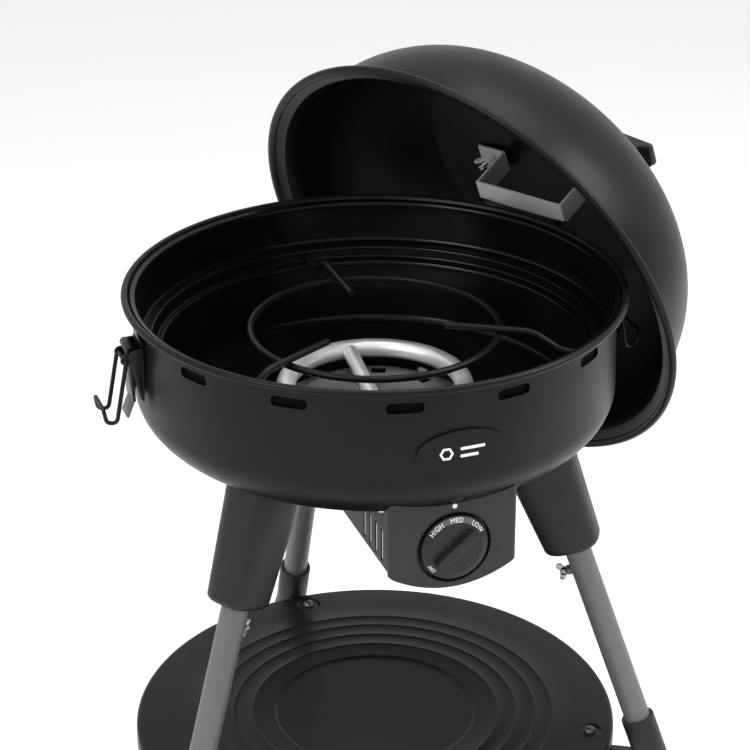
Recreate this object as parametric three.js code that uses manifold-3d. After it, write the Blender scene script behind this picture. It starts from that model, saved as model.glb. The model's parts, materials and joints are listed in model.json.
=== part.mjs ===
// Round gas kettle grill on three splayed tube legs, with its lid hung behind the bowl.
// Millimetres, +Z up, control knob facing -Y. The origin is on the floor, under the middle of the
// grill's bounding box. Inside the file, heights are counted from the plane of the bowl's rim.
import * as THREE from "three";
import { mergeVertices } from "three/addons/utils/BufferGeometryUtils.js";
import Module from "manifold-3d";

const wasm = await Module();
wasm.setup();

// ---------- driving dimensions ----------
const GAP = 0.3; // clearance between pieces that touch
const RIM_HEIGHT = 820; // bowl rim above the floor

// bowl: radii of the wall, counted in from the rolled rim
const RIM_R = 235; // outside of the rolled rim
const RIM_BEAD = 3.4; // radius of the rolled rim
const SHEET = 1; // pressed steel sheet
const BOWL_DEPTH = 149.7;
const CORNER_HEIGHT = 57.7; // the wall bends into the bottom over this height
const WALL_TOP_R = RIM_R - 10.6;
const WALL_LOW_R = RIM_R - 9.2;
const WALL_TOP_Z = -11;
const WALL_LOW_Z = CORNER_HEIGHT - BOWL_DEPTH;
const BOTTOM_FLAT_R = RIM_R - 101.4;
const VENT_COUNT = 14;
const VENT_LENGTH = 33;
const VENT_HEIGHT = 9.6;
const VENT_Z = -21;
const BADGE_WIDTH = 83;
const BADGE_HEIGHT = 42;
const BADGE_SHEET = 1.1;
const BADGE_Z = -67;

// liner pan that hangs in the bowl, with a ledge for a grate and one for the pot stand
const LINER_R = WALL_TOP_R - 3.4;
const GRATE_LEDGE = 14; // width
const GRATE_LEDGE_Z = -46;
const STAND_LEDGE = 8; // width
const STAND_LEDGE_Z = -58;
const GRATE_LEDGE_R = LINER_R - GRATE_LEDGE;
const STAND_LEDGE_R = GRATE_LEDGE_R - STAND_LEDGE;
const LINER_LOW_R = STAND_LEDGE_R - 7;
const LINER_FLOOR_R = LINER_LOW_R - 80;
const LINER_FLOOR_Z = 11.7 - BOWL_DEPTH;
const LINER_LOW_Z = LINER_FLOOR_Z + 21;

// burner
const BURNER_R = 84.2; // centre line of the ring tube
const BURNER_TUBE_R = 9;
const FEED_R = 7;
const FEED_WALL = 1.2;
const FEED_BELL_R = 9.5;
const FEED_BELL = 8; // length
const FEED_START = 48; // from the housing's front to the bell
const FEED_ROOM = 2; // clearance of the holes that the feed tube passes
const DISH_R = 74;
const DISH_RIM = 14; // sloping rim, measured outwards
const DISH_FLANGE_R = 104;
const DISH_SHEET = 1.2;
const DISH_HOLES = 8;
const DISH_HOLE = 12;
const DISH_HOLE_R = 62;
const DISH_Z = LINER_FLOOR_Z + 20;
const BURNER_Z = DISH_Z + 14;
const SPARK_AZIMUTH = -70;
const SPARK_R = BURNER_R + 18;

// pot stand
const ROD_R = 3.35;
const POT_RING_R = 116.5;
const POT_ARM_Z = -37;
const POT_ARM_INNER = 66;
const POT_ARM_BEND = 148;
const POT_FOOT_R = STAND_LEDGE_R - 23;

// control housing under the bowl
const KNOB_R = 31.3;
const KNOB_FACE = 4; // knob face in front of the panel
const KNOB_GRIP = 7; // height of the grip bar
const KNOB_GRIP_TURN = 40;
const KNOB_Z = 12.5 - BOWL_DEPTH - KNOB_R;
const CUP_R = KNOB_R + 3.5; // round recess that the knob turns in
const CUP_DEPTH = 6;
const CUP_SHEET = 1;
const CUP_FLANGE = 3;
const STEM_R = 3;
const STEM_PUSH = 3; // travel of the knob when pushed
const STEM_FLAT = 1; // distance of the stem's flat from its axis
const PANEL_Y = 25 - RIM_R; // front face
const PANEL_HALF = 60;
const PANEL_SHEET = 1.5;
const PANEL_CORNER = 7;
const PANEL_DEPTH = 148;
const PANEL_SIDE_Z = KNOB_Z - 18.5;
const PANEL_BOTTOM_Z = KNOB_Z - KNOB_R - 8.2;
const PANEL_BACK_Y = PANEL_Y + PANEL_DEPTH;
const SLOT_COUNT = 4;
const SLOT_PITCH = 15.5;
const SLOT_WIDTH = 5;
const SLOT_HEIGHT = 32;

// legs
const LEG_AZIMUTHS = { left: -150, right: -30, back: 90 };
const SPLAY = Math.atan(0.3605); // from the vertical
const LEG_TOP_R = BOTTOM_FLAT_R + 24.1; // leg axis where it meets the bowl
const LEG_TOP_Z = -0.3 - BOWL_DEPTH;
const TUBE_R = 12.7;
const TUBE_WALL = 1.2;
const SOCKET_LENGTH = 114.8;
const SOCKET_HALF = 26.5;
const SOCKET_GROWTH = 0.05; // widening per millimetre towards the bowl
const SOCKET_INNER = 31; // from the leg axis to the inner face, at the lower end
const SOCKET_INNER_GROWTH = 0.1;
const SOCKET_BOLT_R = 3;
const SOCKET_BOLT_INSET = 31; // from the leg axis towards the middle of the bowl
const TUBE_TOP = 30; // distances along the leg, from its top point
const CLAMP_AT = 138.2;
const SPIGOT_END = 152;
const SPIGOT_PLAY = 0.6;
const SCREW_R = 3;
const COLLAR_LENGTH = 68;
const COLLAR_WALL = 3.75;
const COLLAR_STOP = 5.4; // height of the inner ring that keeps the two tubes apart
const FOOT_LENGTH = 46;
const FOOT_R = TUBE_R + 4.3;

// shelf
const SHELF_Z = -466;
const SHELF_TO_LEG = 31.6; // from the edge of the shelf to the leg axis
const SHELF_R = LEG_TOP_R + (LEG_TOP_Z - SHELF_Z) * Math.tan(SPLAY) - SHELF_TO_LEG;
const SHELF_SHEET = 1.5;
const SHELF_SKIRT = 20;
const SHELF_EDGE = 5; // rounding of the edge
const SHELF_RECESS_R = 100.8;
const SHELF_RECESS = 2.5;
const COLLAR_ABOVE_SHELF = 23;
const COLLAR_TOP = (LEG_TOP_Z - SHELF_Z - COLLAR_ABOVE_SHELF) / Math.cos(SPLAY);
const PEG_CIRCLE_R = SHELF_R - 22.5;
const PEG_R = 6;
const PEG_HOLE_R = 9;
const ARM_WIDTH = 22; // arm from a leg collar to the peg
const ARM_THICKNESS = 8;

// toggle latches
const LATCH_AZIMUTHS = { left: 180, right: 0 };
const LATCH_PIN_R = RIM_R + 1.5; // radius at which the lever's pin sits
const LATCH_PIN_Z = -29;
const PIN_R = 2.4;
const LATCH_PLATE = 44; // height of the base plate
const LATCH_PLATE_WIDTH = 34;
const KNUCKLE_WIDTH = 3.4;
const LEVER_WIDTH = 26;
const LEVER_LENGTH = 66;
const LEVER_SHEET = 2.8;
const LEVER_TIP = 16; // length of the tip that bends outwards
const EAR_X = 6.4; // hole for the bail, from the lever's pin
const EAR_Z = -8.4;
const BAIL_WIDTH = 37;
const BAIL_LENGTH = 58;
const BAIL_HOOK = 13;
const BAIL_TILT = 0.2;
const BAIL_WIRE_R = 2;

// lid: where its rim centre hangs and the direction from the rim to the top of the dome
const LID_REACH = RIM_R - 51.2;
const LID_SIDE = THREE.MathUtils.degToRad(41.5);
const LID_HANG_Z = -48.5;
const LID_AZIMUTH = THREE.MathUtils.degToRad(30.4);
const LID_ELEVATION = THREE.MathUtils.degToRad(24.1);
const LID_RIM_R = RIM_R + 11;
const LID_BEAD = 4.2;
const LID_WALL_R = LID_RIM_R - 20.4;
const LID_CURVE_HEIGHT = 172.3; // height of the oval that the wall follows
const LID_CURVE_POWER = 2.37;
const LID_SHOULDER_R = 140; // where the wall meets the shallow crown
const LID_CROWN_HEIGHT = 156;
const LID_SHEET = 1.5;
const LID_BOLT_X = 72;
const LID_BOLT_R = 3;
const BRACKET_HALF = 53.5;
const BRACKET_WIDTH = 25;
const BRACKET_SHEET = 2.5;
const BRACKET_BAR_Z = 98;
const BRACKET_TAB_HALF = 41;
const BRACKET_FOOT = 32;
const HANDLE_HALF = 92.5;
const HANDLE_WIDTH = 26;
const HANDLE_TOP = 212;
const HANDLE_TIP = 7.5;
const HOLDER_DEPTH = 10;

// ---------- helpers ----------
const rad = THREE.MathUtils.degToRad;

const finishes = {
  enamel: { color: 0x111112, roughness: 0.42, metalness: 0.1 },
  glossEnamel: { color: 0x0b0b0c, roughness: 0.12, metalness: 0.1 },
  steel: { color: 0x9a9a98, roughness: 0.35, metalness: 0.9 },
  aluminium: { color: 0xbdbdba, roughness: 0.45, metalness: 0.9 },
  brass: { color: 0xb08d4a, roughness: 0.35, metalness: 0.9 },
  greyPaint: { color: 0x6f7073, roughness: 0.45, metalness: 0.3 },
  panelPaint: { color: 0x2b2c2e, roughness: 0.5, metalness: 0.2 },
  plastic: { color: 0x1a1a1b, roughness: 0.5, metalness: 0 },
  ceramic: { color: 0xe8e4da, roughness: 0.5, metalness: 0 },
};

function material(name) {
  return new THREE.MeshStandardMaterial(finishes[name]);
}

function place(x, y, z, rx = 0, ry = 0, rz = 0, order = "XYZ") {
  const turn = new THREE.Quaternion().setFromEuler(new THREE.Euler(rx, ry, rz, order));
  return new THREE.Matrix4().compose(new THREE.Vector3(x, y, z), turn, new THREE.Vector3(1, 1, 1));
}

function toSolid(geometry, matrix) {
  const loose = geometry.index ? geometry.toNonIndexed() : geometry;
  const bare = new THREE.BufferGeometry();
  bare.setAttribute("position", loose.getAttribute("position").clone());
  if (matrix) bare.applyMatrix4(matrix);
  const merged = mergeVertices(bare, 1e-3);
  const vertProperties = merged.attributes.position.array;
  const triVerts = new Uint32Array(merged.index.array);
  return new wasm.Manifold(new wasm.Mesh({ numProp: 3, vertProperties, triVerts }));
}

function toGeometry(solid) {
  const mesh = solid.getMesh();
  const geometry = new THREE.BufferGeometry();
  const points = new THREE.BufferAttribute(new Float32Array(mesh.vertProperties), 3);
  geometry.setAttribute("position", points);
  geometry.setIndex(new THREE.BufferAttribute(new Uint32Array(mesh.triVerts), 1));
  return geometry;
}

function cut(solid, ...cutters) {
  return cutters.reduce((rest, cutter) => rest.subtract(cutter), solid);
}

function join(...solids) {
  return solids.reduce((whole, solid) => whole.add(solid));
}

// A closed outline of [radius, height] points, turned about Z.
function turned(outline, segments) {
  let area = 0;
  outline.forEach(([r, z], i) => {
    const [r2, z2] = outline[(i + 1) % outline.length];
    area += r * z2 - r2 * z;
  });
  const ordered = area > 0 ? [...outline] : [...outline].reverse();
  const onAxis = ordered.findIndex(([r], i) => {
    const next = ordered[(i + 1) % ordered.length];
    return r === 0 && next[0] === 0;
  });
  if (onAxis >= 0) {
    const start = onAxis + 1;
    ordered.push(...ordered.splice(0, start));
  } else {
    ordered.push(ordered[0]);
  }
  const points = ordered.map(([r, z]) => new THREE.Vector2(r, z));
  return new THREE.LatheGeometry(points, segments).rotateX(Math.PI / 2);
}

// The outline of a sheet: a line of [radius, height] points and its offset to the right-hand side.
function sheetOutline(line, thickness) {
  const normals = line.slice(1).map(([r, z], i) => {
    const dr = r - line[i][0];
    const dz = z - line[i][1];
    const length = Math.hypot(dr, dz);
    return [dz / length, -dr / length];
  });
  const offset = line.map(([r, z], i) => {
    const before = normals[Math.max(i - 1, 0)];
    const after = normals[Math.min(i, normals.length - 1)];
    const sum = [before[0] + after[0], before[1] + after[1]];
    const scale = (2 * thickness) / (sum[0] ** 2 + sum[1] ** 2);
    return [r === 0 ? 0 : r + sum[0] * scale, z + sum[1] * scale];
  });
  return [...line, ...offset.reverse()];
}

function arcPoints(r, z, radius, from, to, count) {
  return Array.from({ length: count + 1 }, (_, i) => {
    const angle = rad(from + ((to - from) * i) / count);
    return [r + radius * Math.cos(angle), z + radius * Math.sin(angle)];
  });
}

function rod(radius, length, sides = 16) {
  return new THREE.CylinderGeometry(radius, radius, length, sides).rotateX(Math.PI / 2);
}

function tube(outer, inner, length, sides = 16) {
  const half = length / 2;
  return turned(
    [
      [inner, -half],
      [outer, -half],
      [outer, half],
      [inner, half],
    ],
    sides,
  );
}

function plate(outline, thickness) {
  const shape = new THREE.Shape(outline.map(([x, y]) => new THREE.Vector2(x, y)));
  return new THREE.ExtrudeGeometry(shape, { depth: thickness, bevelEnabled: false });
}

function roundedOutline(halfX, halfY, corner, steps = 4, shiftX = 0) {
  const points = [];
  [0, 1, 2, 3].forEach((quarter) => {
    const sx = quarter === 0 || quarter === 3 ? 1 : -1;
    const sy = quarter < 2 ? 1 : -1;
    for (let i = 0; i <= steps; i += 1) {
      const angle = rad(90 * quarter + (90 * i) / steps);
      const x = shiftX + sx * (halfX - corner) + corner * Math.cos(angle);
      points.push([x, sy * (halfY - corner) + corner * Math.sin(angle)]);
    }
  });
  return points;
}

// A round rod along straight runs joined by bends.
function bentRod(corners, radius, bend, steps, sides = 8) {
  const path = new THREE.CurvePath();
  let from = corners[0];
  corners.slice(1, -1).forEach((corner, i) => {
    const next = corners[i + 2];
    const into = corner.clone().sub(from).normalize();
    const out = next.clone().sub(corner).normalize();
    const start = corner.clone().addScaledVector(into, -bend);
    const end = corner.clone().addScaledVector(out, bend);
    path.add(new THREE.LineCurve3(from, start));
    path.add(new THREE.QuadraticBezierCurve3(start, corner, end));
    from = end;
  });
  path.add(new THREE.LineCurve3(from, corners[corners.length - 1]));
  const section = new THREE.Shape();
  section.absarc(0, 0, radius, 0, 2 * Math.PI, false);
  return new THREE.ExtrudeGeometry(section, { steps, extrudePath: path, curveSegments: sides / 2 });
}

const grill = new THREE.Group();
const aboveFloor = new THREE.Group();
aboveFloor.position.z = RIM_HEIGHT;
grill.add(aboveFloor);

function addPart(name, finish, geometry, parent = aboveFloor, matrix = null) {
  const mesh = new THREE.Mesh(geometry, material(finish));
  mesh.name = name;
  if (matrix) matrix.decompose(mesh.position, mesh.quaternion, mesh.scale);
  parent.add(mesh);
  return mesh;
}

// ---------- bowl ----------
const ROUND = 28; // facets round the bowl, a multiple of the vents
const CORNER_STEPS = 5;
const cornerR = WALL_LOW_R - BOTTOM_FLAT_R;
const cornerH = BOWL_DEPTH + WALL_LOW_Z;

// Outer line of the bowl, from the axis to the top of the wall, grown outwards by a clearance.
function bowlLine(grow) {
  const corner = Array.from({ length: CORNER_STEPS + 1 }, (_, i) => {
    const angle = (Math.PI / 2) * (1 - i / CORNER_STEPS);
    const r = BOTTOM_FLAT_R + (cornerR + grow) * Math.cos(angle);
    return [r, WALL_LOW_Z - (cornerH + grow) * Math.sin(angle)];
  });
  return [[0, -BOWL_DEPTH - grow], ...corner, [WALL_TOP_R + grow, WALL_TOP_Z]];
}

function bowlSpace(grow) {
  const line = bowlLine(grow);
  return toSolid(turned([...line, [WALL_TOP_R + grow, 0], [0, 0]], ROUND));
}

const feedStartAxis = PANEL_Y + 20; // where the tube's axis is level with the knob
const feedSlope = (BURNER_Z - KNOB_Z) / (BURNER_R * 0.76 - feedStartAxis);
const feedTurn = Math.atan(feedSlope);

// The pose of something centred on the feed tube's axis, y along the bowl.
function onFeed(y) {
  const z = KNOB_Z + (y - feedStartAxis) * feedSlope;
  return place(0, y, z, -Math.PI / 2 + feedTurn, 0, 0);
}

const feedStart = PANEL_Y + FEED_START;
const feedEnd = BURNER_R - BURNER_TUBE_R - 0.5;
const feedLength = (feedEnd - feedStart) / Math.cos(feedTurn);
const feedPose = onFeed((feedStart + feedEnd) / 2);
const feedHole = toSolid(rod(FEED_R + FEED_ROOM, feedLength + 4 * FEED_BELL, 16), feedPose);

const beadR = RIM_R - RIM_BEAD;
const shellOutline = [
  ...bowlLine(0),
  [WALL_TOP_R + 1, -8.4],
  [WALL_TOP_R + 3.6, -RIM_BEAD * 2],
  ...arcPoints(beadR, -RIM_BEAD, RIM_BEAD, -90, 180, 5),
  [WALL_TOP_R + 2.4, -4.6],
  [WALL_TOP_R, -5.6],
  [WALL_TOP_R - SHEET, -8.4],
  ...bowlLine(-SHEET).reverse(),
];

function ventCutter(index) {
  const azimuth = rad(-90) + ((index + 0.5) * 2 * Math.PI) / VENT_COUNT;
  const outline = roundedOutline(VENT_LENGTH / 2, VENT_HEIGHT / 2, VENT_HEIGHT / 2 - 0.01, 2);
  const turn = new THREE.Matrix4().makeRotationZ(azimuth + Math.PI / 2);
  const lift = place(0, -(WALL_TOP_R - 8), VENT_Z, Math.PI / 2, 0, 0);
  return toSolid(plate(outline, 16), turn.multiply(lift));
}

const vents = Array.from({ length: VENT_COUNT }, (_, i) => ventCutter(i));

function legPose(azimuth) {
  const a = rad(azimuth);
  const x = LEG_TOP_R * Math.cos(a);
  return place(x, LEG_TOP_R * Math.sin(a), LEG_TOP_Z, 0, -SPLAY, a, "ZYX");
}

function socketBoltAt(azimuth, z) {
  const a = rad(azimuth);
  const r = LEG_TOP_R - SOCKET_BOLT_INSET;
  return place(r * Math.cos(a), r * Math.sin(a), z);
}

const azimuths = Object.values(LEG_AZIMUTHS);
const boltHoles = azimuths.map((azimuth) =>
  toSolid(rod(SOCKET_BOLT_R + GAP, 30, 10), socketBoltAt(azimuth, -BOWL_DEPTH)),
);
const shellSolid = cut(toSolid(turned(shellOutline, ROUND)), feedHole, ...vents, ...boltHoles);
addPart("bowl_shell", "enamel", toGeometry(shellSolid));

const linerLine = [
  [RIM_R - 8.4, -3],
  [LINER_R + 3.2, -3.1],
  [LINER_R + 1, -4.6],
  [LINER_R, -8],
  [LINER_R, GRATE_LEDGE_Z + 3],
  [LINER_R - 2.5, GRATE_LEDGE_Z],
  [GRATE_LEDGE_R, GRATE_LEDGE_Z - 0.8],
  [GRATE_LEDGE_R - 0.6, STAND_LEDGE_Z],
  [STAND_LEDGE_R, STAND_LEDGE_Z - 0.8],
  [STAND_LEDGE_R - 1.6, STAND_LEDGE_Z - 5],
  [LINER_LOW_R, LINER_LOW_Z],
  [LINER_LOW_R - 6, LINER_LOW_Z - 5],
  [LINER_FLOOR_R, LINER_FLOOR_Z],
  [0, LINER_FLOOR_Z],
];
const linerOutline = sheetOutline([...linerLine].reverse(), SHEET);
const linerSolid = cut(toSolid(turned(linerOutline, ROUND)), feedHole);
addPart("inner_pan", "glossEnamel", toGeometry(linerSolid));

// Oval badge plate, bent to the front of the bowl.
function badge() {
  const skin = tube(WALL_LOW_R + GAP + BADGE_SHEET, WALL_LOW_R + GAP, BADGE_HEIGHT + 8, 96);
  const oval = new THREE.Shape();
  oval.absellipse(0, 0, BADGE_WIDTH / 2, BADGE_HEIGHT / 2, 0, 2 * Math.PI, false, 0);
  const depth = WALL_LOW_R + 20;
  const block = new THREE.ExtrudeGeometry(oval, { depth, bevelEnabled: false, curveSegments: 12 });
  const solid = toSolid(skin, place(0, 0, BADGE_Z));
  return solid.intersect(toSolid(block, place(0, 0, BADGE_Z, Math.PI / 2, 0, 0)));
}
addPart("badge_plate", "glossEnamel", toGeometry(badge()));

// ---------- burner ----------
const burnerRing = new THREE.TorusGeometry(BURNER_R, BURNER_TUBE_R, 8, 28);
burnerRing.translate(0, 0, BURNER_Z);
addPart("burner_ring", "aluminium", burnerRing);

const ringRoom = new THREE.TorusGeometry(BURNER_R, BURNER_TUBE_R + GAP, 8, 28);
ringRoom.translate(0, 0, BURNER_Z);
const feedOutline = [
  [FEED_BELL_R - FEED_WALL, -feedLength / 2],
  [FEED_BELL_R, -feedLength / 2],
  [FEED_R, -feedLength / 2 + FEED_BELL],
  [FEED_R, feedLength / 2],
  [FEED_R - FEED_WALL, feedLength / 2],
  [FEED_R - FEED_WALL, -feedLength / 2 + FEED_BELL],
];
const feedSolid = cut(toSolid(turned(feedOutline, 16), feedPose), toSolid(ringRoom));
addPart("burner_feed_tube", "aluminium", toGeometry(feedSolid));

const flangeTop = LINER_FLOOR_Z + GAP + DISH_SHEET + 0.3; // the dish rests on the pan's floor

function burnerDish() {
  const line = [
    [0, DISH_Z],
    [DISH_R, DISH_Z],
    [DISH_R + DISH_RIM, flangeTop],
    [DISH_FLANGE_R, flangeTop],
  ];
  const body = toSolid(turned(sheetOutline(line, DISH_SHEET), 32));
  const holes = Array.from({ length: DISH_HOLES }, (_, i) => {
    const a = ((i + 0.5) * 2 * Math.PI) / DISH_HOLES;
    const box = new THREE.BoxGeometry(DISH_HOLE, DISH_HOLE + 2, 10);
    return toSolid(box, place(DISH_HOLE_R * Math.cos(a), DISH_HOLE_R * Math.sin(a), DISH_Z, 0, 0, a));
  });
  const rests = [30, 150, 270].map((deg) => {
    const a = rad(deg);
    const bite = DISH_SHEET / 2;
    const height = BURNER_Z - BURNER_TUBE_R - GAP - DISH_Z + bite;
    const box = new THREE.BoxGeometry(5, 10, height);
    const r = DISH_R - 3;
    return toSolid(box, place(r * Math.cos(a), r * Math.sin(a), DISH_Z + height / 2 - bite, 0, 0, a));
  });
  const ring = toSolid(ringRoom);
  return cut(join(cut(body, ...holes, feedHole), ...rests), ring);
}
addPart("burner_dish", "steel", toGeometry(burnerDish()));

// Spark electrode: a ceramic body with a thin wire tip beside the ring.
const sparkFoot = -14;
const sparkOutline = [
  [0, sparkFoot],
  [4, sparkFoot],
  [4, 4],
  [2, 8],
  [1, 8],
  [1, 22],
  [0, 22],
];
const sparkPose = place(
  SPARK_R * Math.cos(rad(SPARK_AZIMUTH)),
  SPARK_R * Math.sin(rad(SPARK_AZIMUTH)),
  flangeTop - sparkFoot + GAP,
);
addPart("spark_electrode", "ceramic", turned(sparkOutline, 10), aboveFloor, sparkPose);

// ---------- pot stand ----------
const potStand = new THREE.Group();
potStand.position.z = POT_ARM_Z;
aboveFloor.add(potStand);

const potRing = new THREE.TorusGeometry(POT_RING_R, ROD_R, 6, 28);
addPart("pot_ring", "enamel", potRing, potStand, place(0, 0, -2 * ROD_R - GAP));

const footDrop = POT_ARM_Z - STAND_LEDGE_Z - ROD_R - GAP;
Object.entries(LEG_AZIMUTHS).forEach(([side, azimuth]) => {
  const corners = [
    [POT_ARM_INNER, 0],
    [POT_ARM_BEND, 0],
    [POT_FOOT_R, -footDrop],
    [GRATE_LEDGE_R - 3, -footDrop],
  ].map(([x, z]) => new THREE.Vector3(x, 0, z));
  const arm = bentRod(corners, ROD_R, 7, 14);
  addPart("pot_arm_" + side, "enamel", arm, potStand, place(0, 0, 0, 0, 0, rad(azimuth)));
});

// ---------- control housing, valve and knob ----------
const housingTop = CORNER_HEIGHT + 2 - BOWL_DEPTH; // cut off by the bowl's underside

function controlHousing() {
  const lift = PANEL_CORNER / 2;
  const edge = PANEL_SIDE_Z - lift;
  const sag = edge - PANEL_BOTTOM_Z;
  const front = new THREE.Shape();
  front.moveTo(-PANEL_HALF, housingTop);
  front.lineTo(-PANEL_HALF, PANEL_SIDE_Z);
  front.lineTo(-PANEL_HALF + PANEL_CORNER, edge);
  front.quadraticCurveTo(0, edge - 2 * sag, PANEL_HALF - PANEL_CORNER, edge);
  front.lineTo(PANEL_HALF, PANEL_SIDE_Z);
  front.lineTo(PANEL_HALF, housingTop);
  const options = { depth: PANEL_SHEET, bevelEnabled: false, curveSegments: 10 };
  const face = toSolid(
    new THREE.ExtrudeGeometry(front, options),
    place(0, PANEL_Y + PANEL_SHEET, 0, Math.PI / 2, 0, 0),
  );
  const sideHeight = housingTop - PANEL_SIDE_Z;
  const sideBox = new THREE.BoxGeometry(PANEL_SHEET, PANEL_DEPTH, sideHeight);
  const sides = [-1, 1].map((side) => {
    const x = side * (PANEL_HALF - PANEL_SHEET / 2);
    return toSolid(sideBox, place(x, PANEL_Y + PANEL_DEPTH / 2, PANEL_SIDE_Z + sideHeight / 2));
  });
  const backHeight = 60;
  const back = toSolid(
    new THREE.BoxGeometry(2 * PANEL_HALF, PANEL_SHEET, backHeight),
    place(0, PANEL_BACK_Y, PANEL_SIDE_Z + backHeight / 2),
  );
  const slotBox = new THREE.BoxGeometry(3 * PANEL_HALF, SLOT_WIDTH, SLOT_HEIGHT);
  const slotZ = PANEL_SIDE_Z + 4 + SLOT_HEIGHT / 2;
  const slots = Array.from({ length: SLOT_COUNT }, (_, i) =>
    toSolid(slotBox, place(0, PANEL_Y + 22 + SLOT_PITCH * i, slotZ)),
  );
  const knobHole = toSolid(rod(CUP_R, 20, 28), place(0, PANEL_Y, KNOB_Z, Math.PI / 2));
  const hoseGate = toSolid(new THREE.BoxGeometry(36, 10, 40), place(0, PANEL_BACK_Y, PANEL_SIDE_Z));
  return cut(join(face, ...sides, back), bowlSpace(2 * GAP), ...slots, knobHole, hoseGate);
}
addPart("control_housing", "panelPaint", toGeometry(controlHousing()));

const knobPose = place(0, PANEL_Y, KNOB_Z, Math.PI / 2, 0, 0); // local +Z points out of the panel

const cupBack = -CUP_DEPTH;
const cupOutline = [
  [STEM_R + GAP, cupBack - CUP_SHEET],
  [CUP_R + CUP_FLANGE, cupBack - CUP_SHEET],
  [CUP_R + CUP_FLANGE, -PANEL_SHEET - GAP],
  [CUP_R - GAP, -PANEL_SHEET - GAP],
  [CUP_R - GAP, -GAP],
  [CUP_R - GAP - CUP_SHEET, -GAP],
  [CUP_R - GAP - CUP_SHEET, cupBack],
  [STEM_R + GAP, cupBack],
];
addPart("knob_cup", "plastic", turned(cupOutline, 28), aboveFloor, knobPose);

const stemTail = -30;
const stemTip = 3;
const valveFront = cupBack - CUP_SHEET - GAP;
const valveDepth = 22;
const neckLength = 7;
const gasWay = 1.2; // radius of the passage to the jet
const valveBody = cut(
  join(
    toSolid(new THREE.BoxGeometry(30, 26, valveDepth), place(0, 0, valveFront - valveDepth / 2)),
    toSolid(rod(9, neckLength + 1, 16), place(0, 0, valveFront - valveDepth - neckLength / 2 + 0.5)),
  ),
  toSolid(rod(STEM_R + GAP, 60, 16), place(0, 0, stemTail - GAP + 30)),
  toSolid(rod(gasWay, 60, 8), place(0, 0, -50)),
);
addPart("valve_body", "brass", toGeometry(valveBody), aboveFloor, knobPose);

const jetOutline = [
  [0.6, 0],
  [4, 0],
  [4, 5],
  [2, 10],
  [0.6, 10],
];
const jetFront = valveFront - valveDepth - neckLength - GAP;
const jetPose = knobPose.clone().multiply(place(0, 0, jetFront, Math.PI, 0, 0));
addPart("gas_jet", "brass", turned(jetOutline, 12), aboveFloor, jetPose);

const inletOutline = [
  [3, 0],
  [7, 0],
  [7, 10],
  [9, 10],
  [9, 16],
  [5, 16],
  [5, 26],
  [3, 26],
];
const inletPose = knobPose.clone().multiply(place(0, -13 - GAP, valveFront - 12, Math.PI / 2, 0, 0));
addPart("gas_inlet", "brass", turned(inletOutline, 12), aboveFloor, inletPose);

// A round bar with one flat near its tip; the knob's bore repeats it, a clearance larger.
function flatBar(radius, flat, from, tip) {
  const bar = toSolid(rod(radius, tip - from, 16), place(0, 0, (from + tip) / 2));
  const flatLength = 10;
  const chip = new THREE.BoxGeometry(4 * radius, 2 * radius, flatLength + 1);
  return cut(bar, toSolid(chip, place(0, flat + radius, tip + (1 - flatLength) / 2)));
}
const stem = flatBar(STEM_R, STEM_FLAT, stemTail, stemTip);
addPart("valve_stem", "steel", toGeometry(stem), aboveFloor, knobPose);

function controlKnob() {
  const backZ = cupBack + 1 + STEM_PUSH;
  const outline = [
    [0, backZ],
    [KNOB_R - 1.5, backZ],
    [KNOB_R, backZ + 1.5],
    [KNOB_R, KNOB_FACE - 2.5],
    [KNOB_R - 6, KNOB_FACE],
    [0, KNOB_FACE],
  ];
  const body = toSolid(turned(outline, 28));
  const bar = plate(roundedOutline(23, 4.8, 4.5, 2), KNOB_GRIP + 1);
  const grip = toSolid(bar, place(0, 0, KNOB_FACE - 1, 0, 0, rad(KNOB_GRIP_TURN)));
  const boreEnd = stemTip + STEM_PUSH + GAP;
  const bore = flatBar(STEM_R + GAP, STEM_FLAT + GAP, backZ - 1, boreEnd);
  return cut(join(body, grip), bore);
}
addPart("control_knob", "plastic", toGeometry(controlKnob()), aboveFloor, knobPose);

// ---------- legs ----------
const collarBottom = COLLAR_TOP + COLLAR_LENGTH;
const tubeJoint = COLLAR_TOP + COLLAR_LENGTH / 2;
const legLength = (RIM_HEIGHT + LEG_TOP_Z) / Math.cos(SPLAY);
const spigotR = TUBE_R - TUBE_WALL - SPIGOT_PLAY;

function socketBody() {
  const length = SOCKET_LENGTH + 30;
  const outline = roundedOutline(1, 1, 0.6, 3);
  const loft = plate(outline, length);
  const points = loft.getAttribute("position");
  for (let i = 0; i < points.count; i += 1) {
    const z = points.getZ(i) - SOCKET_LENGTH;
    const up = z + SOCKET_LENGTH;
    const half = SOCKET_HALF + SOCKET_GROWTH * up;
    const inner = SOCKET_INNER + SOCKET_INNER_GROWTH * up;
    const x = points.getX(i);
    points.setXYZ(i, x > 0 ? x * half : x * inner, points.getY(i) * half, z);
  }
  return toSolid(loft);
}

function midPose(from, to) {
  return place(0, 0, -(from + to) / 2);
}

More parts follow.
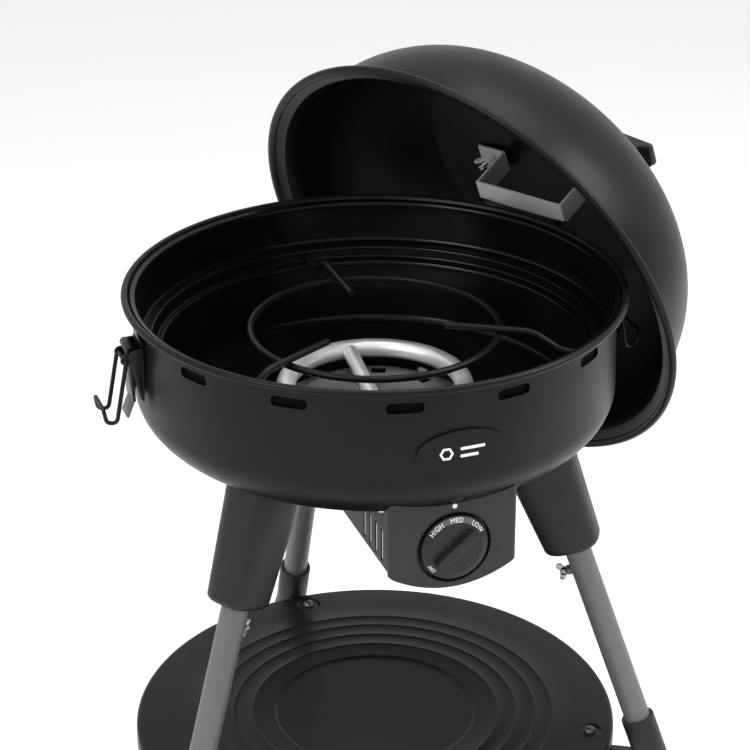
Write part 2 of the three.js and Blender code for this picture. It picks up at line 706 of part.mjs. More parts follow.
Object.entries(LEG_AZIMUTHS).forEach(([side, azimuth]) => {
  const pose = legPose(azimuth);
  const leg = new THREE.Group();
  pose.decompose(leg.position, leg.quaternion, leg.scale);
  aboveFloor.add(leg);
  const intoLeg = pose.clone().invert();
  const bowlHere = bowlSpace(GAP).transform(intoLeg.elements);

  const bore = toSolid(tube(TUBE_R + GAP, spigotR, SOCKET_LENGTH), midPose(
    TUBE_TOP - GAP, TUBE_TOP - GAP + SOCKET_LENGTH));
  const spigotLength = SPIGOT_END - TUBE_TOP;
  const spigot = toSolid(rod(spigotR, spigotLength), midPose(TUBE_TOP, SPIGOT_END));
  const boltRoom = toSolid(
    rod(SOCKET_BOLT_R + GAP, 40, 10),
    intoLeg.clone().multiply(socketBoltAt(azimuth, -BOWL_DEPTH - 8)),
  );
  const socket = cut(join(cut(socketBody(), bore), spigot), bowlHere, boltRoom);
  addPart("leg_socket_" + side, "plastic", toGeometry(socket), leg);

  const boltHead = place(0, 0, SHEET + GAP + 2);
  const bolt = join(
    toSolid(rod(SOCKET_BOLT_R, 22, 10), place(0, 0, -8)),
    toSolid(rod(5.5, 4, 6), boltHead),
  );
  addPart("socket_bolt_" + side, "steel", toGeometry(bolt), aboveFloor,
    socketBoltAt(azimuth, -BOWL_DEPTH));

  // upper tube, with the nut for the clamp screw welded on its inner side
  const upperEnd = tubeJoint - COLLAR_STOP / 2 - GAP;
  const screwAcross = place(-TUBE_R - 1, 0, -CLAMP_AT, 0, Math.PI / 2, 0);
  const nut = toSolid(rod(5.5, 6, 6), screwAcross);
  const screwHole = toSolid(rod(SCREW_R + GAP, 16, 10), screwAcross);
  const inside = toSolid(rod(TUBE_R - TUBE_WALL, upperEnd - TUBE_TOP + 2), midPose(TUBE_TOP, upperEnd));
  const upperBody = toSolid(rod(TUBE_R, upperEnd - TUBE_TOP), midPose(TUBE_TOP, upperEnd));
  const upper = cut(join(upperBody, nut), inside, screwHole);
  addPart("leg_upper_" + side, "greyPaint", toGeometry(upper), leg);

  // clamp screw with two wings
  const tip = spigotR + GAP;
  const shank = toSolid(rod(SCREW_R, 8, 10), place(0, 0, 4));
  const hub = toSolid(rod(4.6, 5, 10), place(0, 0, 9));
  const wings = toSolid(plate(roundedOutline(9, 3.8, 3.4, 3), 2.4), place(0, 1.2, 12, Math.PI / 2));
  const screw = join(shank, hub, wings);
  addPart("leg_wing_screw_" + side, "steel", toGeometry(screw), leg,
    place(-tip, 0, -CLAMP_AT, 0, -Math.PI / 2, 0));

  // collar that joins the two tubes and carries the shelf
  const wall = TUBE_R + COLLAR_WALL;
  const stop = TUBE_R - 1;
  const bored = TUBE_R + GAP;
  const collarOutline = [
    [bored, -collarBottom],
    [wall, -collarBottom],
    [wall, -COLLAR_TOP],
    [bored, -COLLAR_TOP],
    [bored, -tubeJoint + COLLAR_STOP / 2],
    [stop, -tubeJoint + COLLAR_STOP / 2],
    [stop, -tubeJoint - COLLAR_STOP / 2],
    [bored, -tubeJoint - COLLAR_STOP / 2],
  ];
  const a = rad(azimuth);
  const spin = new THREE.Matrix4().makeRotationZ(a);
  const radialBox = (from, to, low, high) =>
    toSolid(
      new THREE.BoxGeometry(to - from, ARM_WIDTH, high - low),
      intoLeg.clone().multiply(spin.clone().multiply(place((from + to) / 2, 0, (low + high) / 2))),
    );
  const armTop = SHELF_Z - SHELF_SHEET - GAP;
  const skirtEnd = SHELF_Z - SHELF_SKIRT - 1;
  const dropOuter = SHELF_R - SHELF_SHEET - 6;
  const armSolid = join(
    radialBox(PEG_CIRCLE_R - 11, dropOuter, armTop - ARM_THICKNESS, armTop),
    radialBox(dropOuter - 12, dropOuter, skirtEnd - ARM_THICKNESS, armTop),
    radialBox(dropOuter - 12, SHELF_R + SHELF_TO_LEG - 9.6, skirtEnd - ARM_THICKNESS, skirtEnd),
  );
  const collarRoom = toSolid(rod(wall - 1, 200), midPose(COLLAR_TOP, collarBottom));
  const pegAt = spin.clone().multiply(place(PEG_CIRCLE_R, 0, armTop));
  const pegHole = toSolid(rod(PEG_R / 2 + GAP, 60, 10), intoLeg.clone().multiply(pegAt));
  const collar = join(toSolid(turned(collarOutline, 20)), cut(armSolid, collarRoom, pegHole));
  addPart("leg_collar_" + side, "plastic", toGeometry(collar), leg);

  const headOutline = [
    [0, -7],
    [PEG_R / 2, -7],
    [PEG_R / 2, GAP],
    [PEG_R, GAP],
    [PEG_R, 2.2],
    [PEG_R - 1.2, 4.4],
    [PEG_R - 3.4, 5.6],
    [0, 6],
  ];
  addPart("shelf_peg_" + side, "steel", turned(headOutline, 14), aboveFloor, pegAt);

  const lowerTop = tubeJoint + COLLAR_STOP / 2 + GAP;
  const lowerEnd = legLength - 16;
  const lower = tube(TUBE_R, TUBE_R - TUBE_WALL, lowerEnd - lowerTop);
  addPart("leg_lower_" + side, "greyPaint", lower, leg, midPose(lowerTop, lowerEnd));

  const footBody = toSolid(rod(FOOT_R, FOOT_LENGTH + 20, 20), midPose(
    legLength - FOOT_LENGTH, legLength + 20));
  const footBore = toSolid(rod(TUBE_R + GAP, 100), midPose(lowerEnd + GAP - 100, lowerEnd + GAP));
  const floor = toSolid(
    new THREE.BoxGeometry(1600, 1600, 100),
    intoLeg.clone().multiply(place(0, 0, -RIM_HEIGHT - 50)),
  );
  addPart("leg_foot_" + side, "plastic", toGeometry(cut(footBody, footBore, floor)), leg);
});

// ---------- shelf ----------
function shelf() {
  const line = [
    [0, SHELF_Z - SHELF_RECESS],
    [SHELF_RECESS_R - 2.5, SHELF_Z - SHELF_RECESS],
    [SHELF_RECESS_R, SHELF_Z],
    [SHELF_R - SHELF_EDGE, SHELF_Z],
    [SHELF_R - 0.3 * SHELF_EDGE, SHELF_Z - 0.3 * SHELF_EDGE],
    [SHELF_R, SHELF_Z - SHELF_EDGE],
    [SHELF_R, SHELF_Z - SHELF_SKIRT],
  ];
  const holes = azimuths.map((azimuth) => {
    const a = rad(azimuth);
    const x = PEG_CIRCLE_R * Math.cos(a);
    return toSolid(rod(PEG_HOLE_R, 20, 16), place(x, PEG_CIRCLE_R * Math.sin(a), SHELF_Z));
  });
  return cut(toSolid(turned(sheetOutline(line, SHELF_SHEET), ROUND)), ...holes);
}
addPart("shelf", "enamel", toGeometry(shelf()));

// ---------- toggle latches ----------
Object.entries(LATCH_AZIMUTHS).forEach(([side, azimuth]) => {
  const latch = new THREE.Group();
  latch.rotation.z = rad(azimuth);
  aboveFloor.add(latch);
  const plateZ = LATCH_PIN_Z + 5 - LATCH_PLATE / 2;
  const wallGap = WALL_LOW_R + GAP;

  // base plate riveted to the wall, with two knuckles that hold the pin
  const skin = toSolid(tube(wallGap + 1.5, wallGap, LATCH_PLATE, 96), place(0, 0, plateZ));
  const patch = toSolid(
    new THREE.BoxGeometry(40, LATCH_PLATE_WIDTH, LATCH_PLATE),
    place(WALL_LOW_R + 10, 0, plateZ),
  );
  const knuckleY = (LATCH_PLATE_WIDTH - KNUCKLE_WIDTH) / 2;
  const knuckles = [-1, 1].map((end) => {
    const block = new THREE.BoxGeometry(LATCH_PIN_R - wallGap + 1, KNUCKLE_WIDTH, 9);
    const x = (LATCH_PIN_R + wallGap - 0.5) / 2;
    return toSolid(block, place(x, end * knuckleY, LATCH_PIN_Z));
  });
  const pin = toSolid(rod(PIN_R, LATCH_PLATE_WIDTH, 12), place(LATCH_PIN_R, 0, LATCH_PIN_Z, Math.PI / 2));
  const base = join(skin.intersect(patch), ...knuckles, pin);
  addPart("latch_base_" + side, "enamel", toGeometry(base), latch);

  // lever: barrel round the pin and a leaf that hangs beside the wall
  const leafHalf = LEVER_SHEET / 2;
  const leverOutline = [
    [-leafHalf, 0],
    [leafHalf, 0],
    [leafHalf, LEVER_TIP - LEVER_LENGTH],
    [leafHalf + 5, -LEVER_LENGTH],
    [leafHalf + 2.8, -LEVER_LENGTH - 1],
    [-leafHalf, LEVER_TIP - LEVER_LENGTH - 1],
  ];
  const leaf = toSolid(plate(leverOutline, LEVER_WIDTH), place(0, LEVER_WIDTH / 2, 0, Math.PI / 2));
  const barrel = toSolid(rod(PIN_R + 2.2, LEVER_WIDTH, 16), place(0, 0, 0, Math.PI / 2));
  const pinRoom = toSolid(rod(PIN_R + GAP, 60, 12), place(0, 0, 0, Math.PI / 2));
  const ear = toSolid(new THREE.BoxGeometry(11, LEVER_WIDTH, 8), place(EAR_X - 2, 0, EAR_Z));
  const bailRoom = toSolid(rod(BAIL_WIRE_R + 2 * GAP, 60, 12), place(EAR_X, 0, EAR_Z, Math.PI / 2));
  const lever = cut(join(leaf, barrel, ear), pinRoom, bailRoom);
  const leverPose = place(LATCH_PIN_R, 0, LATCH_PIN_Z);
  addPart("latch_lever_" + side, "enamel", toGeometry(lever), latch, leverPose);

  // wire bail: pivots in the lever's ear, ends in a hook
  const half = BAIL_WIDTH / 2 - BAIL_WIRE_R;
  const lean = BAIL_TILT * BAIL_LENGTH;
  const runs = [
    [0, 0],
    [lean, -BAIL_LENGTH],
    [lean + BAIL_HOOK, -BAIL_LENGTH + 1],
    [lean + BAIL_HOOK + 3, -BAIL_LENGTH + 17],
  ];
  const corners = [
    new THREE.Vector3(0, 0, 0),
    ...runs.map(([x, z]) => new THREE.Vector3(x, half, z)),
    ...[...runs].reverse().map(([x, z]) => new THREE.Vector3(x, -half, z)),
    new THREE.Vector3(0, -0.8, 0),
  ];
  const bail = bentRod(corners, BAIL_WIRE_R, 4, 34, 6);
  addPart("latch_bail_" + side, "enamel", bail, latch,
    place(LATCH_PIN_R + EAR_X, 0, LATCH_PIN_Z + EAR_Z));
});

// ---------- lid ----------
const lidUp = new THREE.Vector3(
  Math.cos(LID_ELEVATION) * Math.cos(LID_AZIMUTH),
  Math.cos(LID_ELEVATION) * Math.sin(LID_AZIMUTH),
  Math.sin(LID_ELEVATION),
);
const lidAcross = new THREE.Vector3(-Math.sin(LID_AZIMUTH), Math.cos(LID_AZIMUTH), 0);
const lidAlong = new THREE.Vector3().crossVectors(lidUp, lidAcross);
const lidCentre = new THREE.Vector3(
  LID_REACH * Math.cos(LID_SIDE),
  LID_REACH * Math.sin(LID_SIDE),
  LID_HANG_Z,
);
const lidMatrix = new THREE.Matrix4().makeBasis(lidAcross, lidAlong, lidUp).setPosition(lidCentre);
const lid = new THREE.Group();
lidMatrix.decompose(lid.position, lid.quaternion, lid.scale);
aboveFloor.add(lid);

const lidPower = 2 / LID_CURVE_POWER;
const shoulderSine = Math.sqrt(1 - (LID_SHOULDER_R / LID_WALL_R) ** LID_CURVE_POWER);
const shoulderHeight = LID_CURVE_HEIGHT * shoulderSine ** lidPower;

// Height of the crown's outside at a radius inside the shoulder.
function crownHeight(r) {
  return shoulderHeight + (LID_CROWN_HEIGHT - shoulderHeight) * (1 - (r / LID_SHOULDER_R) ** 2);
}

function lidLine() {
  const wall = [];
  for (let i = 1; i <= 6; i += 1) {
    const angle = rad(9 * i);
    const r = LID_WALL_R * Math.cos(angle) ** lidPower;
    if (r > LID_SHOULDER_R) wall.push([r, LID_CURVE_HEIGHT * Math.sin(angle) ** lidPower]);
  }
  const crown = [1, 0.65, 0.3, 0].map((share) => {
    const r = LID_SHOULDER_R * share;
    return [r, crownHeight(r)];
  });
  return [...wall, ...crown];
}

const lidBeadR = LID_RIM_R - LID_BEAD;
const lidInner = sheetOutline(lidLine(), -LID_SHEET).slice(lidLine().length);
const lidOutline = [
  ...arcPoints(lidBeadR, 0, LID_BEAD, 180, 450, 5),
  [LID_WALL_R + 5, 6],
  ...lidLine(),
  ...lidInner,
  [LID_WALL_R + 3, 3.5],
];
const lidBoltHoles = [-1, 1].map((end) =>
  toSolid(rod(LID_BOLT_R + GAP, 60, 10), place(end * LID_BOLT_X, 0, LID_CROWN_HEIGHT)),
);
const domeSolid = cut(toSolid(turned(lidOutline, ROUND)), ...lidBoltHoles);
addPart("lid_dome", "enamel", toGeometry(domeSolid), lid);

// Space that the dome takes, a little larger, used to fit what is fastened to it.
const domeRoom = toSolid(
  turned([[0, -10], [LID_RIM_R, -10], [LID_WALL_R, 4], ...lidLine().map(([r, z]) => [r, z + GAP])], ROUND),
);

function lidHandle() {
  const outline = [
    [-HANDLE_HALF, HANDLE_TOP - HANDLE_TIP],
    [-BRACKET_HALF - 24, HANDLE_TOP - 11],
    [-BRACKET_HALF - 30, LID_CROWN_HEIGHT - 6],
    [-BRACKET_HALF - 6, LID_CROWN_HEIGHT - 6],
    [-BRACKET_HALF + 4, HANDLE_TOP - 13],
    [BRACKET_HALF - 4, HANDLE_TOP - 13],
    [BRACKET_HALF + 6, LID_CROWN_HEIGHT - 6],
    [BRACKET_HALF + 30, LID_CROWN_HEIGHT - 6],
    [BRACKET_HALF + 24, HANDLE_TOP - 11],
    [HANDLE_HALF, HANDLE_TOP - HANDLE_TIP],
    [HANDLE_HALF, HANDLE_TOP],
    [HANDLE_HALF / 2, HANDLE_TOP + 5.5],
    [-HANDLE_HALF / 2, HANDLE_TOP + 5.5],
    [-HANDLE_HALF, HANDLE_TOP],
  ];
  const body = toSolid(plate(outline, HANDLE_WIDTH), place(0, HANDLE_WIDTH / 2, 0, Math.PI / 2));
  const bolts = [-1, 1].map((end) =>
    toSolid(rod(LID_BOLT_R + GAP, 60, 10), place(end * LID_BOLT_X, 0, LID_CROWN_HEIGHT)),
  );
  return cut(body, domeRoom, ...bolts);
}
addPart("lid_handle", "plastic", toGeometry(lidHandle()), lid);

// Sheet bracket inside the dome: two feet, two arms and a bar whose tab hangs in the lid holder.
const footReach = BRACKET_HALF + BRACKET_FOOT;
const facetSag = 1.6; // the faceted crown lies this far inside its curve
const feetZ = crownHeight(footReach) - LID_SHEET - GAP - facetSag; // top of the bracket's feet
function lidBracket() {
  const half = BRACKET_HALF;
  const width = BRACKET_WIDTH;
  const bar = toSolid(
    new THREE.BoxGeometry(2 * half, width - 5, BRACKET_SHEET),
    place(0, 2.5, BRACKET_BAR_Z + BRACKET_SHEET / 2),
  );
  const tab = toSolid(
    new THREE.BoxGeometry(2 * BRACKET_TAB_HALF, 8, BRACKET_SHEET),
    place(0, -width / 2 + 3.5, BRACKET_BAR_Z + BRACKET_SHEET / 2),
  );
  const armHeight = feetZ - BRACKET_BAR_Z;
  const pieces = [bar, tab];
  [-1, 1].forEach((end) => {
    pieces.push(toSolid(
      new THREE.BoxGeometry(BRACKET_SHEET, width, armHeight),
      place(end * (half - BRACKET_SHEET / 2), 0, BRACKET_BAR_Z + armHeight / 2),
    ));
    pieces.push(toSolid(
      new THREE.BoxGeometry(footReach - half + BRACKET_SHEET, width, BRACKET_SHEET),
      place(end * ((footReach + half - BRACKET_SHEET) / 2), 0, feetZ - BRACKET_SHEET / 2),
    ));
  });
  const holes = [-1, 1].map((end) =>
    toSolid(rod(LID_BOLT_R + GAP, 40, 10), place(end * LID_BOLT_X, 0, feetZ)),
  );
  return cut(join(...pieces), ...holes);
}
addPart("lid_bracket", "greyPaint", toGeometry(lidBracket()), lid);

const nutBore = LID_BOLT_R + GAP;
[["left", 1], ["right", -1]].forEach(([side, end]) => {
  const boltTop = LID_CROWN_HEIGHT + 18;
  const boltEnd = feetZ - 20;
  const bolt = rod(LID_BOLT_R, boltTop - boltEnd, 10);
  addPart("lid_bolt_" + side, "steel", bolt, lid,
    place(end * LID_BOLT_X, 0, (boltTop + boltEnd) / 2));
  const hub = toSolid(turned([[nutBore, 0], [6.5, 0], [6.5, 3], [5, 9], [nutBore, 9]], 12));
  const wings = [-1, 1].map((wing) =>
    toSolid(plate(roundedOutline(5, 6.5, 3.4, 3), 2.4), place(wing * 8.6, 1.2, 8.5, Math.PI / 2)),
  );
  const bored = toSolid(rod(nutBore, 60, 12));
  addPart("lid_wing_nut_" + side, "steel", toGeometry(cut(join(hub, ...wings), bored)), lid,
    place(end * LID_BOLT_X, 0, feetZ - BRACKET_SHEET - GAP, Math.PI, 0, 0));
});

// ---------- lid holder on the back of the bowl ----------
function lidHolder() {
  const tabEdge = -BRACKET_WIDTH / 2 - 0.5;
  const channel = toSolid(
    new THREE.BoxGeometry(2 * BRACKET_TAB_HALF + 8, HOLDER_DEPTH, 11),
    lidMatrix.clone().multiply(place(0, tabEdge + 5 - HOLDER_DEPTH / 2, BRACKET_BAR_Z + 1.25)),
  );
  const azimuth = Math.atan2(
    lidCentre.y + lidUp.y * BRACKET_BAR_Z,
    lidCentre.x + lidUp.x * BRACKET_BAR_Z,
  );
  const channelCentre = new THREE.Vector3(0, tabEdge - 1, BRACKET_BAR_Z - 4).applyMatrix4(lidMatrix);
  const reach = Math.hypot(channelCentre.x, channelCentre.y);
  const span = reach - WALL_LOW_R + 20;
  const spin = new THREE.Matrix4().makeRotationZ(azimuth);
  const web = toSolid(
    new THREE.BoxGeometry(span, 60, 3),
    spin.clone().multiply(place(reach - span / 2, 0, channelCentre.z - 1)),
  );
  const flange = toSolid(tube(WALL_LOW_R + GAP + 2, WALL_LOW_R - 4, 44, 2 * ROUND), place(
    0, 0, channelCentre.z - 16));
  const patch = toSolid(
    new THREE.BoxGeometry(60, 60, 44),
    spin.clone().multiply(place(WALL_LOW_R, 0, channelCentre.z - 16)),
  );
  const tabRoom = toSolid(
    new THREE.BoxGeometry(2 * BRACKET_TAB_HALF + 1.5, 40, BRACKET_SHEET + 1.5),
    lidMatrix.clone().multiply(place(0, tabEdge + 20 - GAP, BRACKET_BAR_Z + BRACKET_SHEET / 2)),
  );
  return cut(join(channel, web, flange.intersect(patch)), bowlSpace(GAP), tabRoom);
}
addPart("lid_holder", "steel", toGeometry(lidHolder()));

// Stand the grill on the floor, centred on its own bounding box.
grill.updateMatrixWorld(true);
const extent = new THREE.Box3().setFromObject(grill, true);
grill.position.set(
  -(extent.min.x + extent.max.x) / 2,
  -(extent.min.y + extent.max.y) / 2,
  -extent.min.z,
);

export default grill;
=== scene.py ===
# %% [markdown]
# # A round gas kettle grill, piece by piece
# The grill is a pressed steel bowl on three splayed tube legs, with a burner and a pot stand inside,
# a control knob in front, a shelf between the legs and a domed lid that hangs behind the bowl.
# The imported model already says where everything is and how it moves. This lesson rebuilds each
# visible piece with softer edges and finer detail, and gives every piece a finish of its own.

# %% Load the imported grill
import json
import math
import bmesh
import bpy
from mathutils import Matrix, Vector


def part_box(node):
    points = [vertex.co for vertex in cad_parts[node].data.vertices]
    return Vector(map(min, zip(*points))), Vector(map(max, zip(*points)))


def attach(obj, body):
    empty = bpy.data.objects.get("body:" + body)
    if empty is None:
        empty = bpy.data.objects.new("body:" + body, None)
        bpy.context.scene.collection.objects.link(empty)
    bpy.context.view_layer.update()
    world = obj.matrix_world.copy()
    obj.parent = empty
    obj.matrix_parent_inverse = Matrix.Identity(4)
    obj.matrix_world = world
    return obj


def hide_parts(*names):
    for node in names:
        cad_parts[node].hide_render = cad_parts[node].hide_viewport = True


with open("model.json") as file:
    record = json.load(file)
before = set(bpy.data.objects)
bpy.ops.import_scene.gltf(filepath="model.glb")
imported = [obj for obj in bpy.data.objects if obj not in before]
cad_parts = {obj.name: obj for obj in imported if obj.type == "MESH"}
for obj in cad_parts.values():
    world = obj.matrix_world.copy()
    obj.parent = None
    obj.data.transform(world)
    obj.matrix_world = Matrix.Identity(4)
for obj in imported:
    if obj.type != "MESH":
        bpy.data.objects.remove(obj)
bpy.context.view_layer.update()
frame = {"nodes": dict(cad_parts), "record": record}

# %% [markdown]
# ## Where to measure from
# Everything round on the bowl is easiest to describe from the bowl's own axis, at the height of its
# rim, in millimetres, as a pressing drawing would. One matrix then carries a finished shape into the
# grill's place in metres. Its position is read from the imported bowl, so nothing is fitted by eye.

# %% The bowl's axis and rim
bowl_low, bowl_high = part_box("bowl_shell")
rim_centre = Vector(((bowl_low.x + bowl_high.x) / 2, (bowl_low.y + bowl_high.y) / 2, bowl_high.z))
to_grill = Matrix.Translation(rim_centre) @ Matrix.Scale(0.001, 4)


def shift(x, y, z):
    return Matrix.Translation((x, y, z))


def turn(degrees, axis):
    return Matrix.Rotation(math.radians(degrees), 4, axis)


print("rim centre", [round(c, 4) for c in rim_centre])

# %% [markdown]
# ## Camera
# A long lens from the front left, a little above the rim, shows the inside of the bowl and the hung
# lid together. It could be aimed with a tracking constraint, but fixed angles keep it repeatable.

# %% Camera
lens = bpy.data.cameras.new("studio_camera")
lens.lens = 113.65
lens.sensor_width = 36
camera = bpy.data.objects.new("studio_camera", lens)
camera.location = rim_centre + Vector((-0.6722, -1.9077, 0.85466))
camera.rotation_euler = (math.radians(64.868), 0, math.radians(-19.41))
bpy.context.scene.collection.objects.link(camera)
bpy.context.scene.camera = camera
print("camera at", [round(c, 3) for c in camera.location])

# %% [markdown]
# ## Studio light and floor
# Black enamel shows little but what it mirrors, so the light is built from a few large soft panels:
# one high at the left for the bowl and shelf, one at the front right for the lid's shoulder, and
# one overhead. A pale floor closes the scene. The standard view keeps white paper white, where a
# film-like view would grey it and lift the blacks.

# %% Lights
def soft_panel(name, place, aim, width, height, power):
    panel = bpy.data.lights.new(name, "AREA")
    panel.shape = "RECTANGLE"
    panel.size = width
    panel.size_y = height
    panel.energy = power
    holder = bpy.data.objects.new(name, panel)
    holder.location = rim_centre + Vector(place)
    towards = Vector(aim) - Vector(place)
    holder.rotation_euler = towards.to_track_quat("-Z", "Y").to_euler()
    bpy.context.scene.collection.objects.link(holder)
    return holder


soft_panel("left_panel", (-2.4, -1.2, 1.7), (0, 0, -0.1), 1.5, 1.5, 40)
soft_panel("top_panel", (0.5, 0.3, 2.6), (0, 0, 0), 1.8, 1.8, 34)
soft_panel("right_panel", (1.9, -0.9, 1.6), (0.2, 0.1, -0.1), 0.9, 1.3, 40)
sky = bpy.data.worlds.new("studio")
sky.use_nodes = True
sky.node_tree.nodes["Background"].inputs["Color"].default_value = (1, 1, 1, 1)
sky.node_tree.nodes["Background"].inputs["Strength"].default_value = 0.8
bpy.context.scene.world = sky
bpy.context.scene.view_settings.view_transform = "Standard"

# %% [markdown]
# ## Finishes
# Each finish is a Principled surface whose grain comes from noise on Object coordinates: baked
# enamel has a faint orange peel, moulded plastic a fine leather, steel a soft cloud in its gloss.
# Image textures could do this too, but noise stays sharp at any distance and needs no unwrapping.

# %% One recipe for every finish
def make_finish(name, colour, rough, metal=0.0, grains=(), spread=0.0, cloud=25.0, tint=0.0,
                specular=0.5):
    skin = bpy.data.materials.new(name)
    skin.use_nodes = True
    nodes = skin.node_tree.nodes
    links = skin.node_tree.links
    surface = nodes["Principled BSDF"]
    surface.inputs["Metallic"].default_value = metal
    surface.inputs["Specular IOR Level"].default_value = specular
    place = nodes.new("ShaderNodeTexCoord").outputs["Object"]

    def noise(scale, detail=2.0):
        cell = nodes.new("ShaderNodeTexNoise")
        cell.inputs["Scale"].default_value = scale
        cell.inputs["Detail"].default_value = detail
        links.new(place, cell.inputs["Vector"])
        return cell.outputs["Fac"]

    patches = noise(cloud, 4.0)
    gloss = nodes.new("ShaderNodeMapRange")
    gloss.inputs["From Min"].default_value = 0.3
    gloss.inputs["From Max"].default_value = 0.7
    gloss.inputs["To Min"].default_value = rough - spread
    gloss.inputs["To Max"].default_value = rough + spread
    links.new(patches, gloss.inputs["Value"])
    links.new(gloss.outputs["Result"], surface.inputs["Roughness"])
    shade = nodes.new("ShaderNodeMix")
    shade.data_type = "RGBA"
    shade.inputs[6].default_value = [c * (1 - tint) for c in colour] + [1]
    shade.inputs[7].default_value = [min(1, c * (1 + tint)) for c in colour] + [1]
    links.new(patches, shade.inputs[0])
    links.new(shade.outputs[2], surface.inputs["Base Color"])
    previous = None
    for scale, strength, depth in grains:
        bump = nodes.new("ShaderNodeBump")
        bump.inputs["Strength"].default_value = strength
        bump.inputs["Distance"].default_value = depth
        links.new(noise(scale), bump.inputs["Height"])
        if previous:
            links.new(previous, bump.inputs["Normal"])
        previous = bump.outputs["Normal"]
    if previous:
        links.new(previous, surface.inputs["Normal"])
    return skin


# %% [markdown]
# The bowl, lid and shelf wear a satin baked enamel; the pan and badge the same enamel fired glossy.
# The legs are stove-painted grey, the front panel powder-coated charcoal. Small fittings are zinc,
# brass and bare aluminium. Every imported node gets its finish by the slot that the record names.

# %% The grill's finishes
peel = ((700.0, 0.12, 0.0004), (2600.0, 0.05, 0.0002))
leather = ((1800.0, 0.16, 0.0003),)
finishes = {
    "satin_enamel": make_finish("satin_enamel", (0.0055, 0.0055, 0.0058), 0.36, 0, peel, 0.04, 18,
                                0.08, 0.17),
    "gloss_enamel": make_finish("gloss_enamel", (0.0025, 0.0025, 0.0027), 0.2, 0,
                                ((420.0, 0.05, 0.0004),), 0.03, 22, 0.1, 0.2),
    "latch_paint": make_finish("latch_paint", (0.004, 0.004, 0.0045), 0.3, 0, peel, 0.04, 90, 0.1, 0.25),
    "cast_aluminium": make_finish("cast_aluminium", (0.86, 0.86, 0.85), 0.42, 0.75,
                                  ((900.0, 0.12, 0.0003),), 0.08, 60, 0.06),
    "steel_sheet": make_finish("steel_sheet", (0.3, 0.3, 0.295), 0.38, 0.9,
                               ((500.0, 0.06, 0.0003),), 0.08, 40, 0.08),
    "steel_screws": make_finish("steel_screws", (0.36, 0.36, 0.36), 0.3, 1,
                                ((1500.0, 0.05, 0.0002),), 0.05, 150, 0.05),
    "brass_fittings": make_finish("brass_fittings", (0.6, 0.42, 0.18), 0.28, 1,
                                  ((1200.0, 0.05, 0.0002),), 0.05, 120, 0.06),
    "grey_tube_paint": make_finish("grey_tube_paint", (0.13, 0.13, 0.134), 0.42, 0.1,
                                   ((1500.0, 0.1, 0.0002),), 0.04, 35, 0.05),
    "zinc_bracket": make_finish("zinc_bracket", (0.40, 0.40, 0.40), 0.5, 0,
                                ((900.0, 0.08, 0.0002),), 0.06, 70, 0.06),
    "panel_paint": make_finish("panel_paint", (0.027, 0.027, 0.028), 0.5, 0,
                               ((2400.0, 0.22, 0.0002),), 0.04, 50, 0.06, 0.25),
    "black_plastic": make_finish("black_plastic", (0.013, 0.013, 0.0135), 0.42, 0, leather, 0.05, 45,
                                 0.1, 0.3),
    "white_ceramic": make_finish("white_ceramic", (0.78, 0.76, 0.7), 0.2, 0,
                                 ((300.0, 0.03, 0.0002),), 0.04, 80, 0.04),
    "legend_ink": make_finish("legend_ink", (0.82, 0.82, 0.82), 0.5, 0, leather, 0.03, 90, 0.03),
    "legend_band": make_finish("legend_band", (0.085, 0.085, 0.088), 0.5, 0, leather, 0.03, 90, 0.05),
    "dark_steel": make_finish("dark_steel", (0.1, 0.1, 0.1), 0.3, 0.8,
                              ((900.0, 0.06, 0.0002),), 0.05, 120, 0.06),
    "lid_inside": make_finish("lid_inside", (0.003, 0.003, 0.0032), 0.4, 0, peel, 0.04, 18, 0.08, 0.12),
    # painted shade: a near-black, dull copy of the enamel for the pan's outer wall, so the bowl's air slots
    # read dark
    "slot_painted_shade": make_finish("slot_painted_shade", (0.0012, 0.0012, 0.0012), 0.8, 0, peel, 0.05, 30, 0.1, 0.06),
    "lever_tip_grey": make_finish("lever_tip_grey", (0.13, 0.13, 0.13), 0.4, 0.3,
                              ((900.0, 0.06, 0.0002),), 0.05, 90, 0.05),
}
slot_of = {part["node"]: part["material_slot"] for part in frame["record"]["subparts"]}
for name, node in frame["nodes"].items():
    node.data.materials.clear()
    node.data.materials.append(finishes[slot_of[name]])
print("finishes:", len(finishes))

# %% [markdown]
# ## The workbench
# Most pieces are turned, cut from sheet, or bent from wire, so the bench has three tools: a spin of
# an outline, an extrusion with softened edges, and a wire bent along corners. A fourth tool cuts
# one shape out of another, and the last one puts a finished piece on the grill.

# %% Outlines
def softened(corners, radius, steps=4, closed=True):
    """A run of corners with each one rounded off."""
    points = [Vector(corner) for corner in corners]
    line = []
    for i, corner in enumerate(points):
        if not closed and i in (0, len(points) - 1):
            line.append(tuple(corner))
            continue
        before = points[i - 1] - corner
        after = points[(i + 1) % len(points)] - corner
        reach = min(radius, before.length * 0.48, after.length * 0.48)
        start = corner + before.normalized() * reach
        end = corner + after.normalized() * reach
        for k in range(steps + 1):
            t = k / steps
            line.append(tuple(start * (1 - t) ** 2 + corner * (2 * t * (1 - t)) + end * t * t))
    return line


def arc(r, z, radius, begin, end, steps):
    angles = [math.radians(begin + (end - begin) * i / steps) for i in range(steps + 1)]
    return [(r + radius * math.cos(a), z + radius * math.sin(a)) for a in angles]


def sheet_outline(line, thickness):
    """A line of [radius, height] points and its offset, joined into the section of a sheet."""
    points = [Vector(p) for p in line]
    sides = [Vector((b.y - a.y, a.x - b.x)).normalized() for a, b in zip(points, points[1:])]
    offset = []
    for i, point in enumerate(points):
        both = sides[max(i - 1, 0)] + sides[min(i, len(sides) - 1)]
        moved = point + both * (2 * thickness / both.length_squared)
        offset.append((0 if point.x == 0 else moved.x, moved.y))
    return [tuple(p) for p in points] + offset[::-1]


print("outline tools ready")

